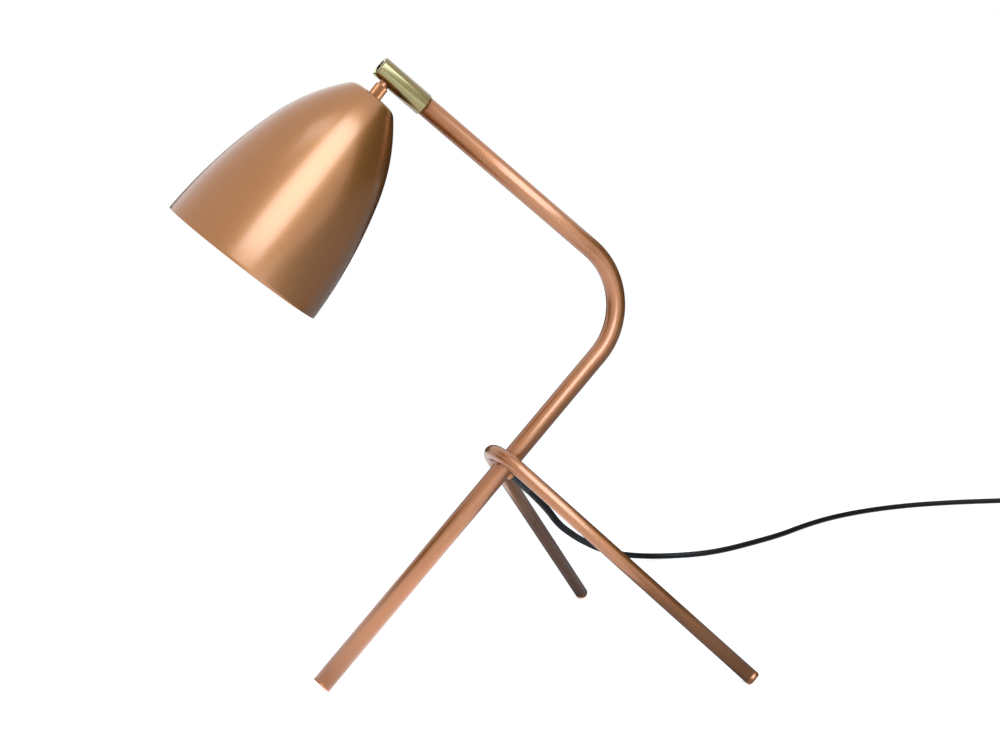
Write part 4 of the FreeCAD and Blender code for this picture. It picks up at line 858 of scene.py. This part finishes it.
def rolled_thread_tree():
    """Wire wound in a screw line, which stands for the thread rolled in a bulb's cap."""
    tree, given = tree_for("rolled_thread", ("Turns", "Height", "Thread radius", "Crest radius"))
    screw = add_node(tree, "GeometryNodeCurveSpiral",
                     {"Resolution": 48, "Rotations": given["Turns"], "Height": given["Height"],
                      "Start Radius": given["Thread radius"], "End Radius": given["Thread radius"]})
    crest = add_node(tree, "GeometryNodeCurvePrimitiveCircle", {"Resolution": 12,
                                                                "Radius": given["Crest radius"]})
    wire = add_node(tree, "GeometryNodeCurveToMesh", {"Curve": screw.outputs[0], "Fill Caps": True,
                                                      "Profile Curve": crest.outputs[0]})
    give_out(tree, wire, given["Finish"])
    return tree


screw_line = grown(rolled_thread_tree(), [(0, 0, 0), (0, 0, 1 * MM)],
                   {"Turns": 4.2, "Height": 15.2 * MM, "Thread radius": 12.4 * MM,
                    "Crest radius": 0.75 * MM, "Finish": aluminium})
screw_line.transform(stood_on(BALL + NECK_DIR * (BULB_AT + 6.2 * MM), NECK_DIR))
piece_from("bulb_thread", smooth(screw_line, 60), aluminium, "head", "bulb_cap_metal")
cap_low = BULB_AT + 5.0 * MM
cap_outline = [(0, cap_low), (11.4 * MM, cap_low), (BULB_NECK_R, BULB_AT + 6.5 * MM),
               (BULB_NECK_R, BULB_AT + 21.5 * MM), (BULB_CAP_R, BULB_AT + 22.3 * MM),
               (BULB_CAP_R, cap_end), (0, cap_end)]
piece_from("bulb_screw_cap", lathe("bulb_screw_cap", cap_outline, BALL, NECK_DIR, closed=False),
           aluminium, "head", "bulb_cap_metal", "bulb_cap")
insulator = [(0, BULB_AT + 1.5 * MM), (5.8 * MM, BULB_AT + 1.6 * MM),
             (11.2 * MM, BULB_AT + 5.2 * MM), (0, BULB_AT + 5.2 * MM)]
piece_from("bulb_insulator", lathe("bulb_insulator", insulator, BALL, NECK_DIR, 72, False),
           black_glass, "head", "bulb_cap_metal")
dressed("bulb_contact", zinc_plate)

# ---------------------------------------------------------------- tie round the coil
# A cable tie moulded from black nylon holds the spare lead together. Its strap is toothed, and
# the teeth lie 2.9 mm apart here, which is coarser than real ones, so that they show.
TOOTH_GAP = 2.856 * MM
# at scale 1 a wave texture repeats every tau / 20 metres
ladder_scale = math.tau / (20 * TOOTH_GAP)
nylon, tree, shader = new_surface("moulded_black_nylon", Roughness=0.42)
place = add_node(tree, "ShaderNodeTexCoord").outputs["Object"]
ladder = add_node(tree, "ShaderNodeTexWave", {"Vector": place, "Scale": ladder_scale,
                                              "Distortion": 0.0}, bands_direction="Z")
# the same ladder sets the tone, so the grooves between the teeth are painted a little darker than the
# crests: painted shade
tone = add_node(tree, "ShaderNodeMix", {"Factor": ladder.outputs[1], "A": srgb("#121213"),
                                        "B": srgb("#1d1d1f")}, data_type="RGBA")
relief = add_node(tree, "ShaderNodeBump", {"Height": ladder.outputs[1], "Strength": 0.4,
                                           "Distance": 0.2 * MM})
tree.links.new(tone.outputs["Result"], shader.inputs["Base Color"])
tree.links.new(relief.outputs[0], shader.inputs["Normal"])
dressed("coil_tie", nylon, 0.15 * MM)

# ---------------------------------------------------------------- switch on the cord
# Two moulded ABS halves with a spark-eroded grain, screwed together from below, round a polished
# rocker on its cross pin. Brass terminals hold the cores inside.
# The spark-eroded mould leaves a matt leathery grain, and the polished one a clear gloss.
eroded_abs = cloudy("spark_eroded_black_abs", "#1b1b1d", "#252527", 0.55, 8.0, 0.45, 0.06)
polished_abs = cloudy("polished_black_abs", "#101011", "#18181a", 0.18, 6.0, 1.0, 0.005,
                      Coat_Weight=0.3)
dressed("switch_base", eroded_abs)
dressed("switch_cover", eroded_abs)
dressed("switch_rocker", polished_abs, 0.3 * MM)
dressed("switch_screws", zinc_plate)
dressed("switch_terminals", bright_brass, 0.2 * MM)

# ---------------------------------------------------------------- plug
# Flat plug moulded on the lead in one shot of PVC, with a ribbed relief and two brass pins whose
# inner halves wear insulating sleeves.
# Moulded PVC: black, duller than the switch, with a fine soft grain.
moulded_pvc = cloudy("moulded_black_pvc", "#19191a", "#222224", 0.48, 9.0, 0.6, 0.04)
dressed("plug_relief", soft_pvc)
dressed("plug_body", moulded_pvc, 0.5 * MM)
dressed("plug_pins", bright_brass)
dressed("plug_pin_sleeves", phenolic)
